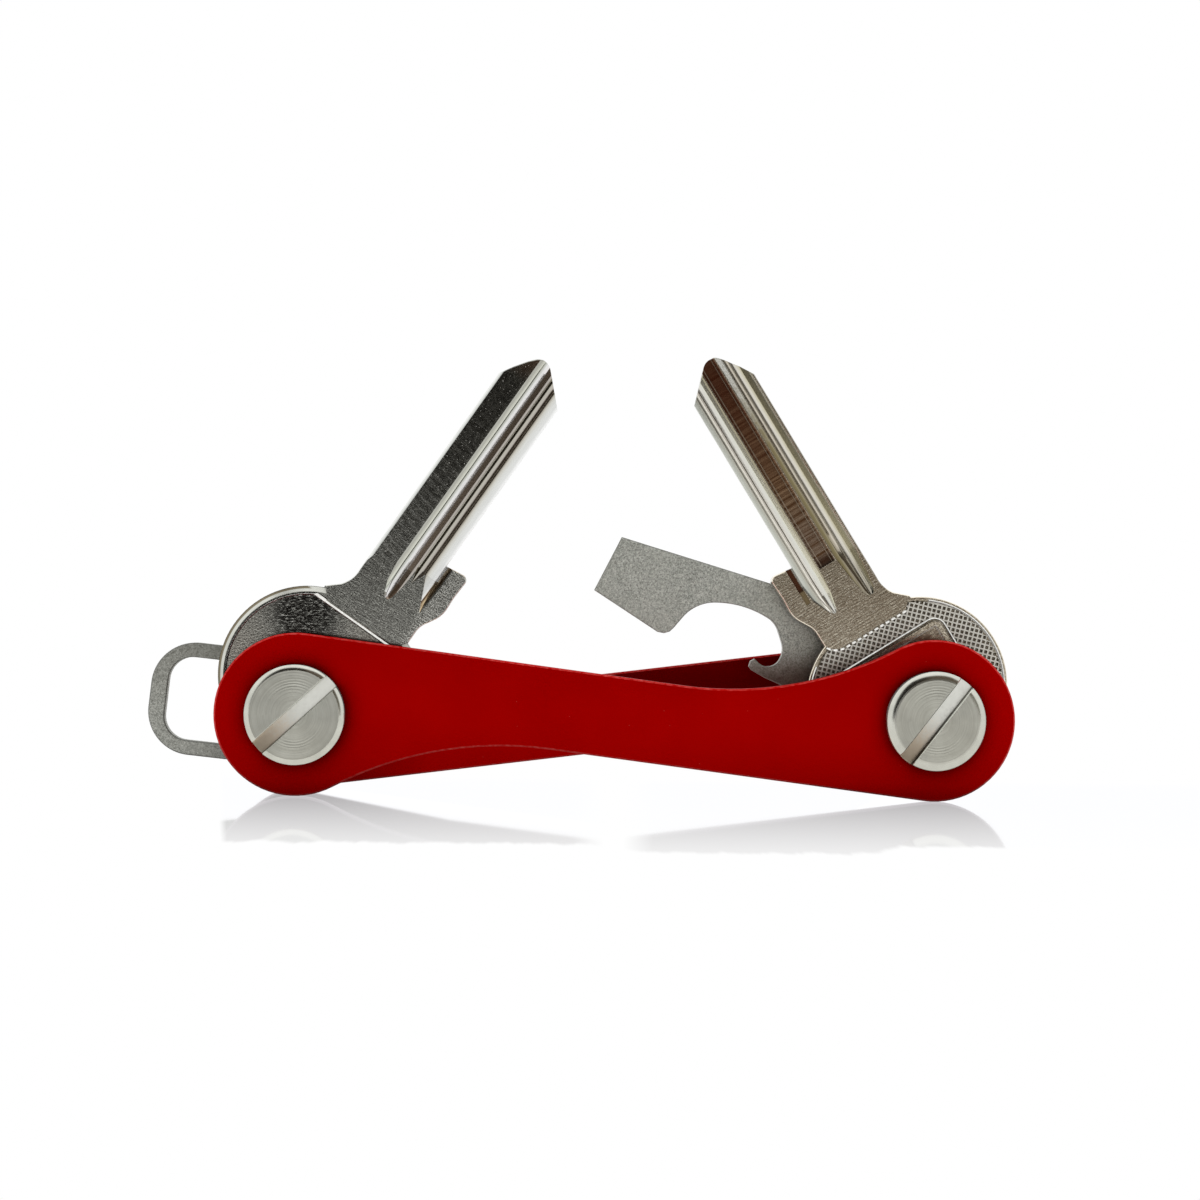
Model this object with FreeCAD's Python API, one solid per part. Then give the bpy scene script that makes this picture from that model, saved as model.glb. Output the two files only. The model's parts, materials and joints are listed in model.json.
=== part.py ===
import FreeCAD, Part
import os, math
from FreeCAD import Vector

# Folding key organiser: two S-shaped plates, two coin-slot screw posts, two keys,
# a bottle opener and a loop. It stands on the lobes of its plates.
# +X runs along the body to the right, +Y to the back, +Z up, millimetres.
# The origin is under the middle of the bounding box, on the standing plane.

# ---- body ---------------------------------------------------------------------
PIVOT_SPACING = 78.0      # between the two post axes
LOBE_R = 9.9              # round ends of the plates
EDGE_ANGLE = 7.25         # slope of the straight edges against the pivot line, degrees
WAIST_R = 44.2            # concave arc between straight edge and lobe
PLATE_T = 1.6
PLATE_CHAMFER = 0.22
PLATE_HOLE_R = 2.55
PLATE_HOLE_CHAMFER = 0.25
GAP = 12.0                # clear gap between the plates
X_SHIFT = 4.59            # centres the bounding box on X (the loop stands out on the left)

HALF_SPACING = PIVOT_SPACING / 2
X_LEFT = -HALF_SPACING + X_SHIFT
X_RIGHT = HALF_SPACING + X_SHIFT
Z_PIVOT = LOBE_R
Y_IN = GAP / 2            # inner faces of the plates
Y_OUT = Y_IN + PLATE_T    # outer faces of the plates

# ---- posts --------------------------------------------------------------------
HEAD_R = 6.06             # coin-slot heads
HEAD_T = 1.6
HEAD_BEVEL_POST = (0.64, 0.42, 0.08)    # radial, axial, crown: head of the barrel post
HEAD_BEVEL_SCREW = (1.04, 0.55, 0.13)   # radial, axial, crown: head of the male screw
SLOT_W = 1.8
SLOT_D = 1.0
SLOT_CHAMFER = 0.09
SLOT_ANGLE_LEFT_FRONT = 42.8      # degrees above +X, all seen from the front
SLOT_ANGLE_RIGHT_FRONT = 52.3
SLOT_ANGLE_LEFT_BACK = 18.0
SLOT_ANGLE_RIGHT_BACK = -34.0

POST_R = 2.5              # barrel outside
POST_BORE_R = 2.0
POST_BORE_START = 1.2     # bore floor, from the head's seat
POST_END_GAP = 0.2        # barrel stops short of the far plate's outer face
SHANK_R = 1.95            # male screw
SHANK_END_GAP = 2.2       # shank stops short of the far plate's outer face
TIP_CHAMFER = 0.3         # barrel mouth and shank tip
HEAD_OVERLAP = 0.2        # barrel and shank start inside the head

# ---- layers on the posts ------------------------------------------------------
RING_HOLE_R = 2.54        # washers and spacers
WASHER_T = 0.4
RING_SHAPES = {"friction_washer": (5.6, 0.08), "spacer": (5.1, 0.2)}    # radius, chamfer
KEY_SLOT = 2.2            # axial room for a key
TOOL_SLOT = 1.5           # axial room for the opener and the loop
END_SPACER_T = (GAP - 2 * KEY_SLOT - TOOL_SLOT - 5 * WASHER_T) / 2

SWING_HOLE_R = 2.57       # keys, opener, loop
SWING_PLAY = 0.03         # axial play on each side of a swinging piece
HALF_KEY_T = KEY_SLOT / 2 - SWING_PLAY
HALF_TOOL_T = TOOL_SLOT / 2 - SWING_PLAY

OVER = 1.0                # how far cutting bodies run past a face

# ---- helpers ------------------------------------------------------------------
def path(start, segments):
    """Closed face in the XZ plane. A segment is (x, z) for a straight line to that point,
    or (mid x, mid z, x, z) for an arc."""
    edges, current = [], Vector(start[0], 0, start[1])
    first = current
    for segment in segments:
        end = Vector(segment[-2], 0, segment[-1])
        if len(segment) == 2:
            edges.append(Part.LineSegment(current, end).toShape())
        else:
            edges.append(Part.Arc(current, Vector(segment[0], 0, segment[1]), end).toShape())
        current = end
    if math.hypot(current.x - first.x, current.z - first.z) > 1e-6:
        edges.append(Part.LineSegment(current, first).toShape())
    return Part.Face(Part.Wire(edges))


def place(shape, x, y, z):
    moved = shape.copy()
    moved.translate(Vector(x, y, z))
    return moved


def turn(shape, degrees):
    """Turn about the Y axis, counter-clockwise as seen from the front."""
    turned = shape.copy()
    turned.rotate(Vector(0, 0, 0), Vector(0, 1, 0), -degrees)
    return turned


def face_about(shape):
    """Half a turn about Z: front becomes back."""
    turned = shape.copy()
    turned.rotate(Vector(0, 0, 0), Vector(0, 0, 1), 180)
    return turned


def slab(face, y_start, y_end):
    return place(face, 0, y_start, 0).extrude(Vector(0, y_end - y_start, 0))


def rod(x, z, radius, y_start, y_end):
    return Part.makeCylinder(radius, y_end - y_start, Vector(x, y_start, z), Vector(0, 1, 0))


def cone(x, y, radius_start, radius_end, height):
    return Part.makeCone(radius_start, radius_end, height, Vector(x, y, 0), Vector(0, 1, 0))


def outline_edges(solid, levels):
    """Edges lying in the planes y = levels."""
    found = []
    for edge in solid.Edges:
        box = edge.BoundBox
        if box.YLength < 1e-6 and any(abs(box.YMin - y) < 1e-6 for y in levels):
            found.append(edge)
    return found


def break_edges(solid, size, edges):
    """Chamfer the edges together, leaving out up to four short ones that cannot take it."""
    groups, tried = [list(edges)], 0
    while groups and tried < 200:
        group = groups.pop(0)
        tried += 1
        # The chamfer raises an error where an edge is too short for it; the next group
        # then goes without one of the shortest edges.
        try:
            result = solid.makeChamfer(size, group)
            if result.isValid() and len(result.Solids) == 1:
                return result
        except Part.OCCError:
            pass
        if len(group) > len(edges) - 4:
            by_length = sorted(range(len(group)), key=lambda i: group[i].Length)
            groups += [[e for j, e in enumerate(group) if j != i] for i in by_length[:6]]
    raise ValueError("no edge group takes the chamfer")


def swing_hole(solid, x=0, z=0):
    return solid.cut(rod(x, z, SWING_HOLE_R, -3, 3))


def clean(shape):
    shape = shape.removeSplitter()
    return shape.Solids[0] if len(shape.Solids) == 1 else shape


parts = {}

# ---- plates -------------------------------------------------------------------
def plate_face():
    """S-shaped outline centred between the pivots; the lower half is the upper half
    turned by 180 degrees."""
    slope = math.radians(EDGE_ANGLE)
    normal = (math.sin(slope), math.cos(slope))
    along = (math.cos(slope), -math.sin(slope))
    reach = LOBE_R + WAIST_R          # right lobe centre to waist centre
    straight = PIVOT_SPACING * along[0] - math.sqrt(
        reach ** 2 - (reach - PIVOT_SPACING * normal[0]) ** 2)
    edge_start = (-HALF_SPACING + LOBE_R * normal[0], LOBE_R * normal[1])
    edge_end = (edge_start[0] + straight * along[0], edge_start[1] + straight * along[1])
    waist = (-HALF_SPACING + reach * normal[0] + straight * along[0],
             reach * normal[1] + straight * along[1])
    share = LOBE_R / reach
    waist_end = (HALF_SPACING + (waist[0] - HALF_SPACING) * share, waist[1] * share)
    to_mid = ((edge_end[0] + waist_end[0]) / 2 - waist[0],
              (edge_end[1] + waist_end[1]) / 2 - waist[1])
    length = math.hypot(*to_mid)
    waist_mid = (waist[0] + to_mid[0] / length * WAIST_R,
                 waist[1] + to_mid[1] / length * WAIST_R)
    lobe_end = (HALF_SPACING + LOBE_R, 0.0)

    def opposite(point):
        return (-point[0], -point[1])

    return path(edge_start, [
        edge_end, waist_mid + waist_end, lobe_end + opposite(edge_start),
        opposite(edge_end), opposite(waist_mid) + opposite(waist_end),
        opposite(lobe_end) + edge_start])


def plate():
    """Plate with its outer face at y = 0 and its inner face at y = PLATE_T."""
    body = slab(plate_face(), 0, PLATE_T)
    body = body.makeChamfer(PLATE_CHAMFER, outline_edges(body, (0.0, PLATE_T)))
    wide = PLATE_HOLE_R + PLATE_HOLE_CHAMFER
    for x in (-HALF_SPACING, HALF_SPACING):
        body = body.cut(rod(x, 0, PLATE_HOLE_R, -OVER, PLATE_T + OVER))
        body = body.cut(cone(x, 0, wide, PLATE_HOLE_R, PLATE_HOLE_CHAMFER))
        body = body.cut(cone(x, PLATE_T - PLATE_HOLE_CHAMFER, PLATE_HOLE_R, wide,
                             PLATE_HOLE_CHAMFER))
    return clean(body)


front_plate = plate()
parts["front_plate"] = place(front_plate, X_SHIFT, -Y_OUT, Z_PIVOT)
parts["back_plate"] = place(face_about(front_plate), X_SHIFT, Y_OUT, Z_PIVOT)

# ---- posts and screws ---------------------------------------------------------
def head(bevel, slot_angle):
    """Coin-slot head, outer face at y = 0, seat at y = HEAD_T."""
    radial, axial, crown = bevel
    length = math.hypot(radial, axial)
    centre, seat_centre = Vector(0, 0, 0), Vector(0, HEAD_T, 0)
    bevel_start = Vector(HEAD_R - radial, 0, 0)
    bevel_mid = Vector(HEAD_R - radial / 2 + crown * axial / length,
                       axial / 2 - crown * radial / length, 0)
    bevel_end = Vector(HEAD_R, axial, 0)
    seat_rim = Vector(HEAD_R, HEAD_T, 0)
    profile = Part.Wire([
        Part.LineSegment(centre, bevel_start).toShape(),
        Part.Arc(bevel_start, bevel_mid, bevel_end).toShape(),
        Part.LineSegment(bevel_end, seat_rim).toShape(),
        Part.LineSegment(seat_rim, seat_centre).toShape(),
        Part.LineSegment(seat_centre, centre).toShape()])
    body = Part.Face(profile).revolve(centre, Vector(0, 1, 0), 360)
    slot = Part.makeBox(4 * HEAD_R, SLOT_D + OVER, SLOT_W,
                        Vector(-2 * HEAD_R, -OVER, -SLOT_W / 2))
    body = body.cut(turn(slot, slot_angle))
    slot_rims = [e for e in outline_edges(body, (0.0,)) if e.Curve.TypeId == "Part::GeomLine"]
    return body.makeChamfer(SLOT_CHAMFER, slot_rims)


def barrel(slot_angle):
    end = HEAD_T + 2 * Y_OUT - POST_END_GAP
    body = head(HEAD_BEVEL_POST, slot_angle)
    body = body.fuse(rod(0, 0, POST_R, HEAD_T - HEAD_OVERLAP, end)).removeSplitter()
    body = body.cut(rod(0, 0, POST_BORE_R, HEAD_T + POST_BORE_START, end + OVER))
    body = body.cut(cone(0, end - TIP_CHAMFER, POST_BORE_R, POST_BORE_R + TIP_CHAMFER,
                         TIP_CHAMFER))
    return clean(body)


def screw(slot_angle):
    end = HEAD_T + 2 * Y_OUT - SHANK_END_GAP
    body = head(HEAD_BEVEL_SCREW, slot_angle)
    body = body.fuse(rod(0, 0, SHANK_R, HEAD_T - HEAD_OVERLAP, end)).removeSplitter()
    return clean(body.makeChamfer(TIP_CHAMFER, outline_edges(body, (end,))))


def from_front(shape, x):
    return place(shape, x, -Y_OUT - HEAD_T, Z_PIVOT)


def from_back(shape, x):
    return place(face_about(shape), x, Y_OUT + HEAD_T, Z_PIVOT)


# Facing about mirrors the slot's slope, so the back angles go in negated.
parts["left_post_barrel"] = from_front(barrel(SLOT_ANGLE_LEFT_FRONT), X_LEFT)
parts["right_screw"] = from_front(screw(SLOT_ANGLE_RIGHT_FRONT), X_RIGHT)
parts["left_screw"] = from_back(screw(-SLOT_ANGLE_LEFT_BACK), X_LEFT)
parts["right_post_barrel"] = from_back(barrel(-SLOT_ANGLE_RIGHT_BACK), X_RIGHT)

# ---- washers and spacers ------------------------------------------------------
def ring(radius, thickness, chamfer):
    body = rod(0, 0, radius, 0, thickness)
    body = body.makeChamfer(chamfer, outline_edges(body, (0.0, thickness)))
    return body.cut(rod(0, 0, RING_HOLE_R, -OVER, thickness + OVER))


def stack(x, side, layers):
    """Build a post's rings from layers (kind, thickness), listed front to back.
    Returns the middle y of each open layer."""
    y = -Y_IN
    open_middles = []
    counts = dict.fromkeys(RING_SHAPES, 0)
    for kind, thickness in layers:
        if kind == "open":
            open_middles.append(y + thickness / 2)
        else:
            counts[kind] += 1
            radius, chamfer = RING_SHAPES[kind]
            name = "%s_%s_%d" % (side, kind, counts[kind])
            parts[name] = place(ring(radius, thickness, chamfer), x, y, Z_PIVOT)
        y += thickness
    return open_middles


WASHER = ("friction_washer", WASHER_T)
KEY_SPACER = ("spacer", KEY_SLOT)
KEY_ROOM = ("open", KEY_SLOT)
# The same on both posts, behind the keys.
BACK_LAYERS = [WASHER, ("open", TOOL_SLOT), WASHER,
               ("spacer", END_SPACER_T), ("spacer", END_SPACER_T), WASHER]
y_left_key, y_loop = stack(
    X_LEFT, "left", [WASHER, KEY_ROOM, WASHER, KEY_SPACER] + BACK_LAYERS)
y_right_key, y_opener = stack(
    X_RIGHT, "right", [WASHER, KEY_SPACER, WASHER, KEY_ROOM] + BACK_LAYERS)

# ---- keys ---------------------------------------------------------------------
# Local frame: X along the blade from the bow centre, Z towards the cut edge,
# face B at y = -HALF_KEY_T and face A at y = +HALF_KEY_T.
LEFT_KEY_ANGLE = 55.39    # blade direction above +X at rest
RIGHT_KEY_ANGLE = 121.88
LEFT_KEY_HOLE = (-4.55, -0.20)    # post hole measured from the bow centre (along, across)
RIGHT_KEY_HOLE = (-4.20, -0.50)
BOW_R = 10.9              # side arcs of the key bow
BOW_C = 1.95              # their centres stand this far each side of the blade centreline
BOW_TIGHT_X = 6.0         # from here back, the cut-edge side of the bow turns on a smaller arc
BOW_TIGHT_R = 8.6
BLADE_H = 4.2             # half height of the blade
BLADE_TIP = 48.2          # bow centre to tip
KEY_EDGE = 0.1            # broken edges of the blank
NECK_START = 5.0          # the neck's outline starts here, inside the bow

CHORD = 8.92              # where the neck's land begins
RIM_A_OUTER = (0.05, 0.42)        # face A rim, outside: inset, depth
RIM_A_INNER = (0.70, 0.06)        # face A rim, inside: inset, depth
RIM_A_END = 10.5          # the rim's slope is cut no further along than this
LINE_A_D = 0.36           # depth of the line between rim and pad
PAD_FOOT, PAD_TOP = 0.88, 1.04    # insets of the pad on face A
PAD_BEVEL = 0.30          # pad bevel along the chord
RIM_B_TOP, RIM_B_FOOT = 0.36, 0.62    # insets of the rim on face B
FIELD_D = 0.22            # recess of the field inside the rim of face B
PANEL_X = (-5.0, 5.92)    # plain panel inside the field
PANEL_Z = (-8.05, 7.0)
PANEL_CORNER = 1.1
PANEL_BORDER = 0.55
PANEL_INNER_CORNER = 0.6
PANEL_D = 0.16            # inside of the panel below its border
MOAT_W = 0.28             # groove round the panel
MOAT_D = 0.42

# Neck and blade outline, spine to tip to cut edge: (x, z) line, (mid x, mid z, x, z) arc.
NECK_OUTLINE = [
    (10.15, -6.5), (11.5, -5.0), (12.55, -4.42, 14.3, -BLADE_H),
    (43.75, -BLADE_H), (45.4, -3.22), (47.0, -2.12), (47.75, -1.45),
    (BLADE_TIP, -0.45, 47.8, 0.65), (47.15, 1.3),
    (44.25, BLADE_H), (20.65, BLADE_H), (20.95, 6.5),
    (20.75, 7.13, 20.15, 7.34), (18.0, 7.24), (16.2, 7.34),
    (15.2, 7.18, 14.3, 6.75), (13.65, 6.38),
    (12.9, 5.99, 12.0, 5.83), (NECK_START, 5.83)]

# The neck's full-thickness land: chord, a rounded corner and a cut-off corner.
LAND_OUTLINE = [
    (CHORD, 3.8), (9.42, 5.12, 10.55, 5.83),
    (10.55, 5.9), (16.0, 5.9), (16.0, -7.0), (10.9, -7.0)]

# Grooves of the blade. Each has its face (1 for A, -1 for B),
# its profile (fraction of blade height from the spine, depth),
# its run-in stations (x, scale of the profile) and
# the fraction of blade height towards which the profile shrinks.
GROOVES = [
    (1, [(-.05, .30), (0, .20), (.045, 0)],
     [(14.6, .1), (16.6, 1.0)], -.03),
    (1, [(.385, 0), (.458, .17), (.468, .36), (.553, .82), (.632, .82), (.668, .26), (.675, 0)],
     [(13.2, .12), (13.42, .33), (13.8, .50), (15.4, .84), (17.6, 1.0)], .575),
    (1, [(.668, 0), (.674, .26), (.690, .28), (.700, .48), (.712, .48), (.722, .16),
         (.775, .42), (.785, .56), (.80, .52), (.812, .40), (.824, .44), (.836, 0)],
     [(16.5, .04), (18.6, 1.0)], .73),
    (1, [(.826, 0), (.834, .18), (1.0, .74), (1.03, .74), (1.06, .15), (1.12, 0)],
     [(13.9, .02), (15.6, .38), (18.4, 1.0)], 1.085),
    (-1, [(.030, 0), (.048, .17), (.135, .24), (.195, .60), (.225, .60),
          (.25, .52), (.265, .50), (.30, .42), (.378, .12), (.388, 0)],
     [(12.75, .22), (13.1, .40), (13.6, .52), (16.0, .76), (19.0, 1.0)], .20),
    (-1, [(.400, 0), (.412, .8), (.652, .8), (.664, 0)],
     [(18.75, 1.0)], .53),
    (-1, [(.683, 0), (.70, .10), (.755, .16), (.81, .46), (.838, .50), (.85, .30),
          (.875, .22), (.90, .34), (.925, .36), (1.0, .50), (1.03, .50), (1.035, 0)],
     [(13.1, .10), (13.5, .32), (14.1, .48), (15.7, .84), (18.0, 1.0)], .80),
]
GROOVE_END = BLADE_TIP + 2
GROOVE_RISE = 0.3         # height of a groove's cutting body above the face

# Short stepped slot beside the shoulder, on face B: start x, length, depth.
STEP_SLOT = [(17.5, 4.5, 0.5), (15.7, 2.0, 0.16)]
STEP_SLOT_Z = 4.46
STEP_SLOT_W = 0.70


def polar(centre, radius, angle):
    return (centre[0] + radius * math.cos(angle), centre[1] + radius * math.sin(angle))


def bow_face(inset=0.0, chord=None):
    """Outline of the bow moved in by inset; with chord, cut straight across there."""
    spine_centre, cut_centre = (0.0, -BOW_C), (0.0, BOW_C)
    # the tight arc carries on from the cut-edge side's arc at this normal
    normal = (BOW_TIGHT_X / BOW_R, math.sqrt(1 - (BOW_TIGHT_X / BOW_R) ** 2))
    join = math.atan2(normal[1], normal[0])
    tight_centre = (BOW_TIGHT_X - BOW_TIGHT_R * normal[0],
                    BOW_C + BOW_R * normal[1] - BOW_TIGHT_R * normal[1])
    # direction square to the straight that joins the tight arc to the spine side's arc
    dx, dz = tight_centre[0], tight_centre[1] + BOW_C
    back = math.atan2(dz, dx) + math.acos((BOW_TIGHT_R - BOW_R) / math.hypot(dx, dz))

    radius, tight_radius = BOW_R - inset, BOW_TIGHT_R - inset
    end = math.acos((radius if chord is None else chord) / radius)
    return path(polar(spine_centre, radius, back), [
        polar(spine_centre, radius, (back + 2 * math.pi - end) / 2)
        + polar(spine_centre, radius, -end),
        polar(cut_centre, radius, end),
        polar(cut_centre, radius, (end + join) / 2) + polar(cut_centre, radius, join),
        polar(tight_centre, tight_radius, (join + back) / 2)
        + polar(tight_centre, tight_radius, back)])


def panel_face(growth, corner):
    """The panel's rounded rectangle with each side moved out by growth."""
    x0, x1 = PANEL_X[0] - growth, PANEL_X[1] + growth
    z0, z1 = PANEL_Z[0] - growth, PANEL_Z[1] + growth
    bulge = corner * (1 - math.sqrt(0.5))
    return path((x0 + corner, z0), [
        (x1 - corner, z0), (x1 - bulge, z0 + bulge, x1, z0 + corner),
        (x1, z1 - corner), (x1 - bulge, z1 - bulge, x1 - corner, z1),
        (x0 + corner, z1), (x0 + bulge, z1 - bulge, x0, z1 - corner),
        (x0, z0 + corner), (x0 + bulge, z0 + bulge, x0 + corner, z0)])


def frustum(face_start, y_start, face_end, y_end):
    wires = [Part.Wire(place(face, 0, y, 0).Edges)
             for face, y in ((face_start, y_start), (face_end, y_end))]
    return Part.makeLoft(wires, True, True)


def groove(side, profile, stations, focus_fraction):
    """Cutting body of one row of GROOVES, carried on at full size past the tip."""
    surface = side * HALF_KEY_T
    focus = -BLADE_H + 2 * BLADE_H * focus_fraction
    closed = [(profile[0][0], -GROOVE_RISE)] + profile + [(profile[-1][0], -GROOVE_RISE)]
    sections = []
    for x, scale in stations + [(GROOVE_END, 1.0)]:
        points = []
        for fraction, depth in closed:
            z = -BLADE_H + 2 * BLADE_H * fraction
            points.append(Vector(x, surface - side * depth * scale,
                                 focus + (z - focus) * scale))
        sections.append(Part.makePolygon(points + [points[0]]))
    return Part.makeLoft(sections, True, True)


def blank():
    half = HALF_KEY_T
    bow = slab(bow_face(), -half, half)
    neck = slab(path((NECK_START, -6.3), NECK_OUTLINE), -half, half)
    bow = bow.makeChamfer(KEY_EDGE, outline_edges(bow, (-half, half)))
    neck = neck.makeChamfer(KEY_EDGE, [e for e in outline_edges(neck, (-half, half))
                                       if e.BoundBox.XMin > NECK_START + 0.01])
    return bow.fuse(neck).removeSplitter()


def shape_face_a(key, land):
    """A sloping rim, a line inside it and a smooth pad with a wide bevel along the chord."""
    top = HALF_KEY_T
    outer_inset, outer_depth = RIM_A_OUTER
    inner_inset, inner_depth = RIM_A_INNER
    x_start = -BOW_R - 2
    above = Part.makeBox(RIM_A_END - x_start, outer_depth + OVER, 60,
                         Vector(x_start, top - outer_depth, -30))
    rim = frustum(bow_face(outer_inset), top - outer_depth,
                  bow_face(inner_inset), top - inner_depth)
    rim = rim.fuse(slab(bow_face(inner_inset), top - inner_depth, top + 2 * OVER))
    line = slab(bow_face(inner_inset), top - LINE_A_D, top + OVER)
    pad_top = bow_face(PAD_TOP, CHORD - PAD_BEVEL)
    pad = frustum(bow_face(PAD_FOOT, CHORD), top - LINE_A_D, pad_top, top)
    pad = pad.fuse(slab(pad_top, top, top + 2 * OVER))
    return key.cut(above.cut(rim).cut(land)).cut(line.cut(pad).cut(land))


def shape_face_b(key, land):
    """A recessed field inside a plain rim, with a moated panel in it."""
    top = -HALF_KEY_T
    field = frustum(bow_face(RIM_B_FOOT), top + FIELD_D, bow_face(RIM_B_TOP), top).cut(land)
    panel = slab(panel_face(0, PANEL_CORNER), top - OVER, HALF_KEY_T)
    moat = slab(panel_face(MOAT_W, PANEL_CORNER + MOAT_W), top - OVER, top + MOAT_D)
    inner = slab(panel_face(-PANEL_BORDER, PANEL_INNER_CORNER), top - OVER, top + PANEL_D)
    return key.cut(field.cut(panel)).cut(moat.cut(panel)).cut(inner)


def key_blank(hole):
    """Key with the post hole's axis moved to the origin."""
    key = blank()
    land = slab(path((CHORD, -5.22), LAND_OUTLINE), -HALF_KEY_T - 2 * OVER,
                HALF_KEY_T + 2 * OVER)
    key = shape_face_a(key, land)
    key = shape_face_b(key, land)
    for row in GROOVES:
        key = key.cut(groove(*row))
    for x, length, depth in STEP_SLOT:
        key = key.cut(Part.makeBox(length, OVER + depth, STEP_SLOT_W,
                                   Vector(x, -HALF_KEY_T - OVER, STEP_SLOT_Z)))
    key = clean(swing_hole(key, *hole))
    return place(key, -hole[0], 0, -hole[1])


right_key = turn(key_blank(RIGHT_KEY_HOLE), RIGHT_KEY_ANGLE)
parts["right_key"] = place(right_key, X_RIGHT, y_right_key, Z_PIVOT)
left_key = key_blank(LEFT_KEY_HOLE)
left_key.rotate(Vector(0, 0, 0), Vector(1, 0, 0), 180)    # turned over: face A to the front
parts["left_key"] = place(turn(left_key, LEFT_KEY_ANGLE), X_LEFT, y_left_key, Z_PIVOT)

# ---- loop, drawn along +X from its post ---------------------------------------
LOOP_ANGLE = 174.0
LOOP_HALF = 7.02          # half height
LOOP_END = 19.0
LOOP_CORNER = 5.5
WINDOW_HALF = 5.18
WINDOW_START = 8.0
WINDOW_END = 16.9
WINDOW_CORNER = 3.0       # corners at the far end
WINDOW_NEAR_CORNER = 2.0  # corners next to the post
LOOP_CHAMFER = 0.16


def far_end(half, end, corner):
    """Segments round the far end, from the upper side to the start of the lower side."""
    straight = end - corner
    diagonal = corner * math.sqrt(0.5)
    return [(straight, half),
            (straight + diagonal, half - corner + diagonal, end, half - corner),
            (end, -half + corner),
            (straight + diagonal, -half + corner - diagonal, straight, -half)]


def loop():
    outer = path((0, LOOP_HALF), far_end(LOOP_HALF, LOOP_END, LOOP_CORNER) + [
        (0, -LOOP_HALF), (-LOOP_HALF, 0, 0, LOOP_HALF)])
    half, start, corner = WINDOW_HALF, WINDOW_START, WINDOW_NEAR_CORNER
    bulge = corner * (1 - math.sqrt(0.5))
    window = path((start + corner, half), far_end(half, WINDOW_END, WINDOW_CORNER) + [
        (start + corner, -half), (start + bulge, -half + bulge, start, -half + corner),
        (start, half - corner), (start + bulge, half - bulge, start + corner, half)])
    thick = HALF_TOOL_T
    body = slab(outer, -thick, thick).cut(slab(window, -thick - OVER, thick + OVER))
    body = body.makeChamfer(LOOP_CHAMFER, outline_edges(body, (-thick, thick)))
    return clean(swing_hole(body))


parts["key_loop"] = place(turn(loop(), LOOP_ANGLE), X_LEFT, y_loop, Z_PIVOT)

# ---- bottle opener, drawn in its open position about the right post -----------
OPENER_EYE_R = 8.2
OPENER_EDGE = 0.1         # broken edges
OPENER_EDGE_X = -8        # the blade's edges are broken to the left of this
OPENER_START = (-38.32, 22.28)
# (x, z) line, (mid x, mid z, x, z) arc: upper edge, round the eye, lower edge with its hook.
OPENER_OUTLINE = [
    (-7.4, 13.04), (-3.2, 11.2, 0.6, 8.05),
    (0.6, 0.0), (-4.5, -5.0), (-6.6, -4.7),
    (-12.6, 0.7, -20.0, 4.75), (-21.84, 5.79), (-22.15, 6.22),
    (-21.93, 6.9), (-21.45, 7.18), (-20.95, 6.72),
    (-19.85, 6.25, -18.55, 6.75), (-17.98, 7.85, -18.1, 9.5),
    (-18.6, 10.98), (-19.1, 11.76, -19.9, 12.4),
    (-23.2, 13.8, -26.6, 14.2), (-28.85, 13.65, -30.65, 12.2),
    (-31.7, 10.95), (-32.2, 10.48), (-32.9, 10.28), (-33.66, 10.42),
    (-41.71, 15.59)]


def opener():
    thick = HALF_TOOL_T
    blade = slab(path(OPENER_START, OPENER_OUTLINE), -thick, thick)
    for y in (-thick, thick):
        blade = break_edges(blade, OPENER_EDGE, [e for e in outline_edges(blade, (y,))
                                                 if e.BoundBox.XMin < OPENER_EDGE_X])
    eye = rod(0, 0, OPENER_EYE_R, -thick, thick)
    eye = eye.makeChamfer(OPENER_EDGE, outline_edges(eye, (-thick, thick)))
    return clean(swing_hole(blade.fuse(eye).removeSplitter()))


parts["bottle_opener"] = place(opener(), X_RIGHT, y_opener, Z_PIVOT)

# ---- write --------------------------------------------------------------------
os.makedirs("parts", exist_ok=True)
for name, solid in parts.items():
    solid.exportStep("parts/%s.step" % name)
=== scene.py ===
import json
import math

import bmesh
import bpy
from mathutils import Matrix, Vector


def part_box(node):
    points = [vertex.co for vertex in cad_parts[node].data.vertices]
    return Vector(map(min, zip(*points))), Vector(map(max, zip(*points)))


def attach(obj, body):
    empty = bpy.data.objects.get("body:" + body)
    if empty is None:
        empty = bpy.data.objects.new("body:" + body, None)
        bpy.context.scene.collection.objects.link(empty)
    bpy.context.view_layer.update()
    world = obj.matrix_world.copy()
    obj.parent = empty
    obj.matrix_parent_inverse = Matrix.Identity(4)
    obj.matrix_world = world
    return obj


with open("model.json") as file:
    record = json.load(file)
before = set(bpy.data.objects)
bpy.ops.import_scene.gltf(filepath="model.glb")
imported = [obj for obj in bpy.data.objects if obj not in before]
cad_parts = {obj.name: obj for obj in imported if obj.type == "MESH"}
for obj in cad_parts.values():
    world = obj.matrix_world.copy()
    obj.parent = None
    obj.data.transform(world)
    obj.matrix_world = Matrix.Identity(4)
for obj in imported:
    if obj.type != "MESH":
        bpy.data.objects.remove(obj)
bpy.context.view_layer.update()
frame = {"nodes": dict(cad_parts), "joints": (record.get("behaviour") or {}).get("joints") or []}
NODES = frame["nodes"]
JOINTS = {joint["name"]: joint for joint in frame["joints"]}
LEFT_PIVOT = Vector(JOINTS["left_key_swing"]["pos_m"])
RIGHT_PIVOT = Vector(JOINTS["right_key_swing"]["pos_m"])
MM = 0.001

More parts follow.
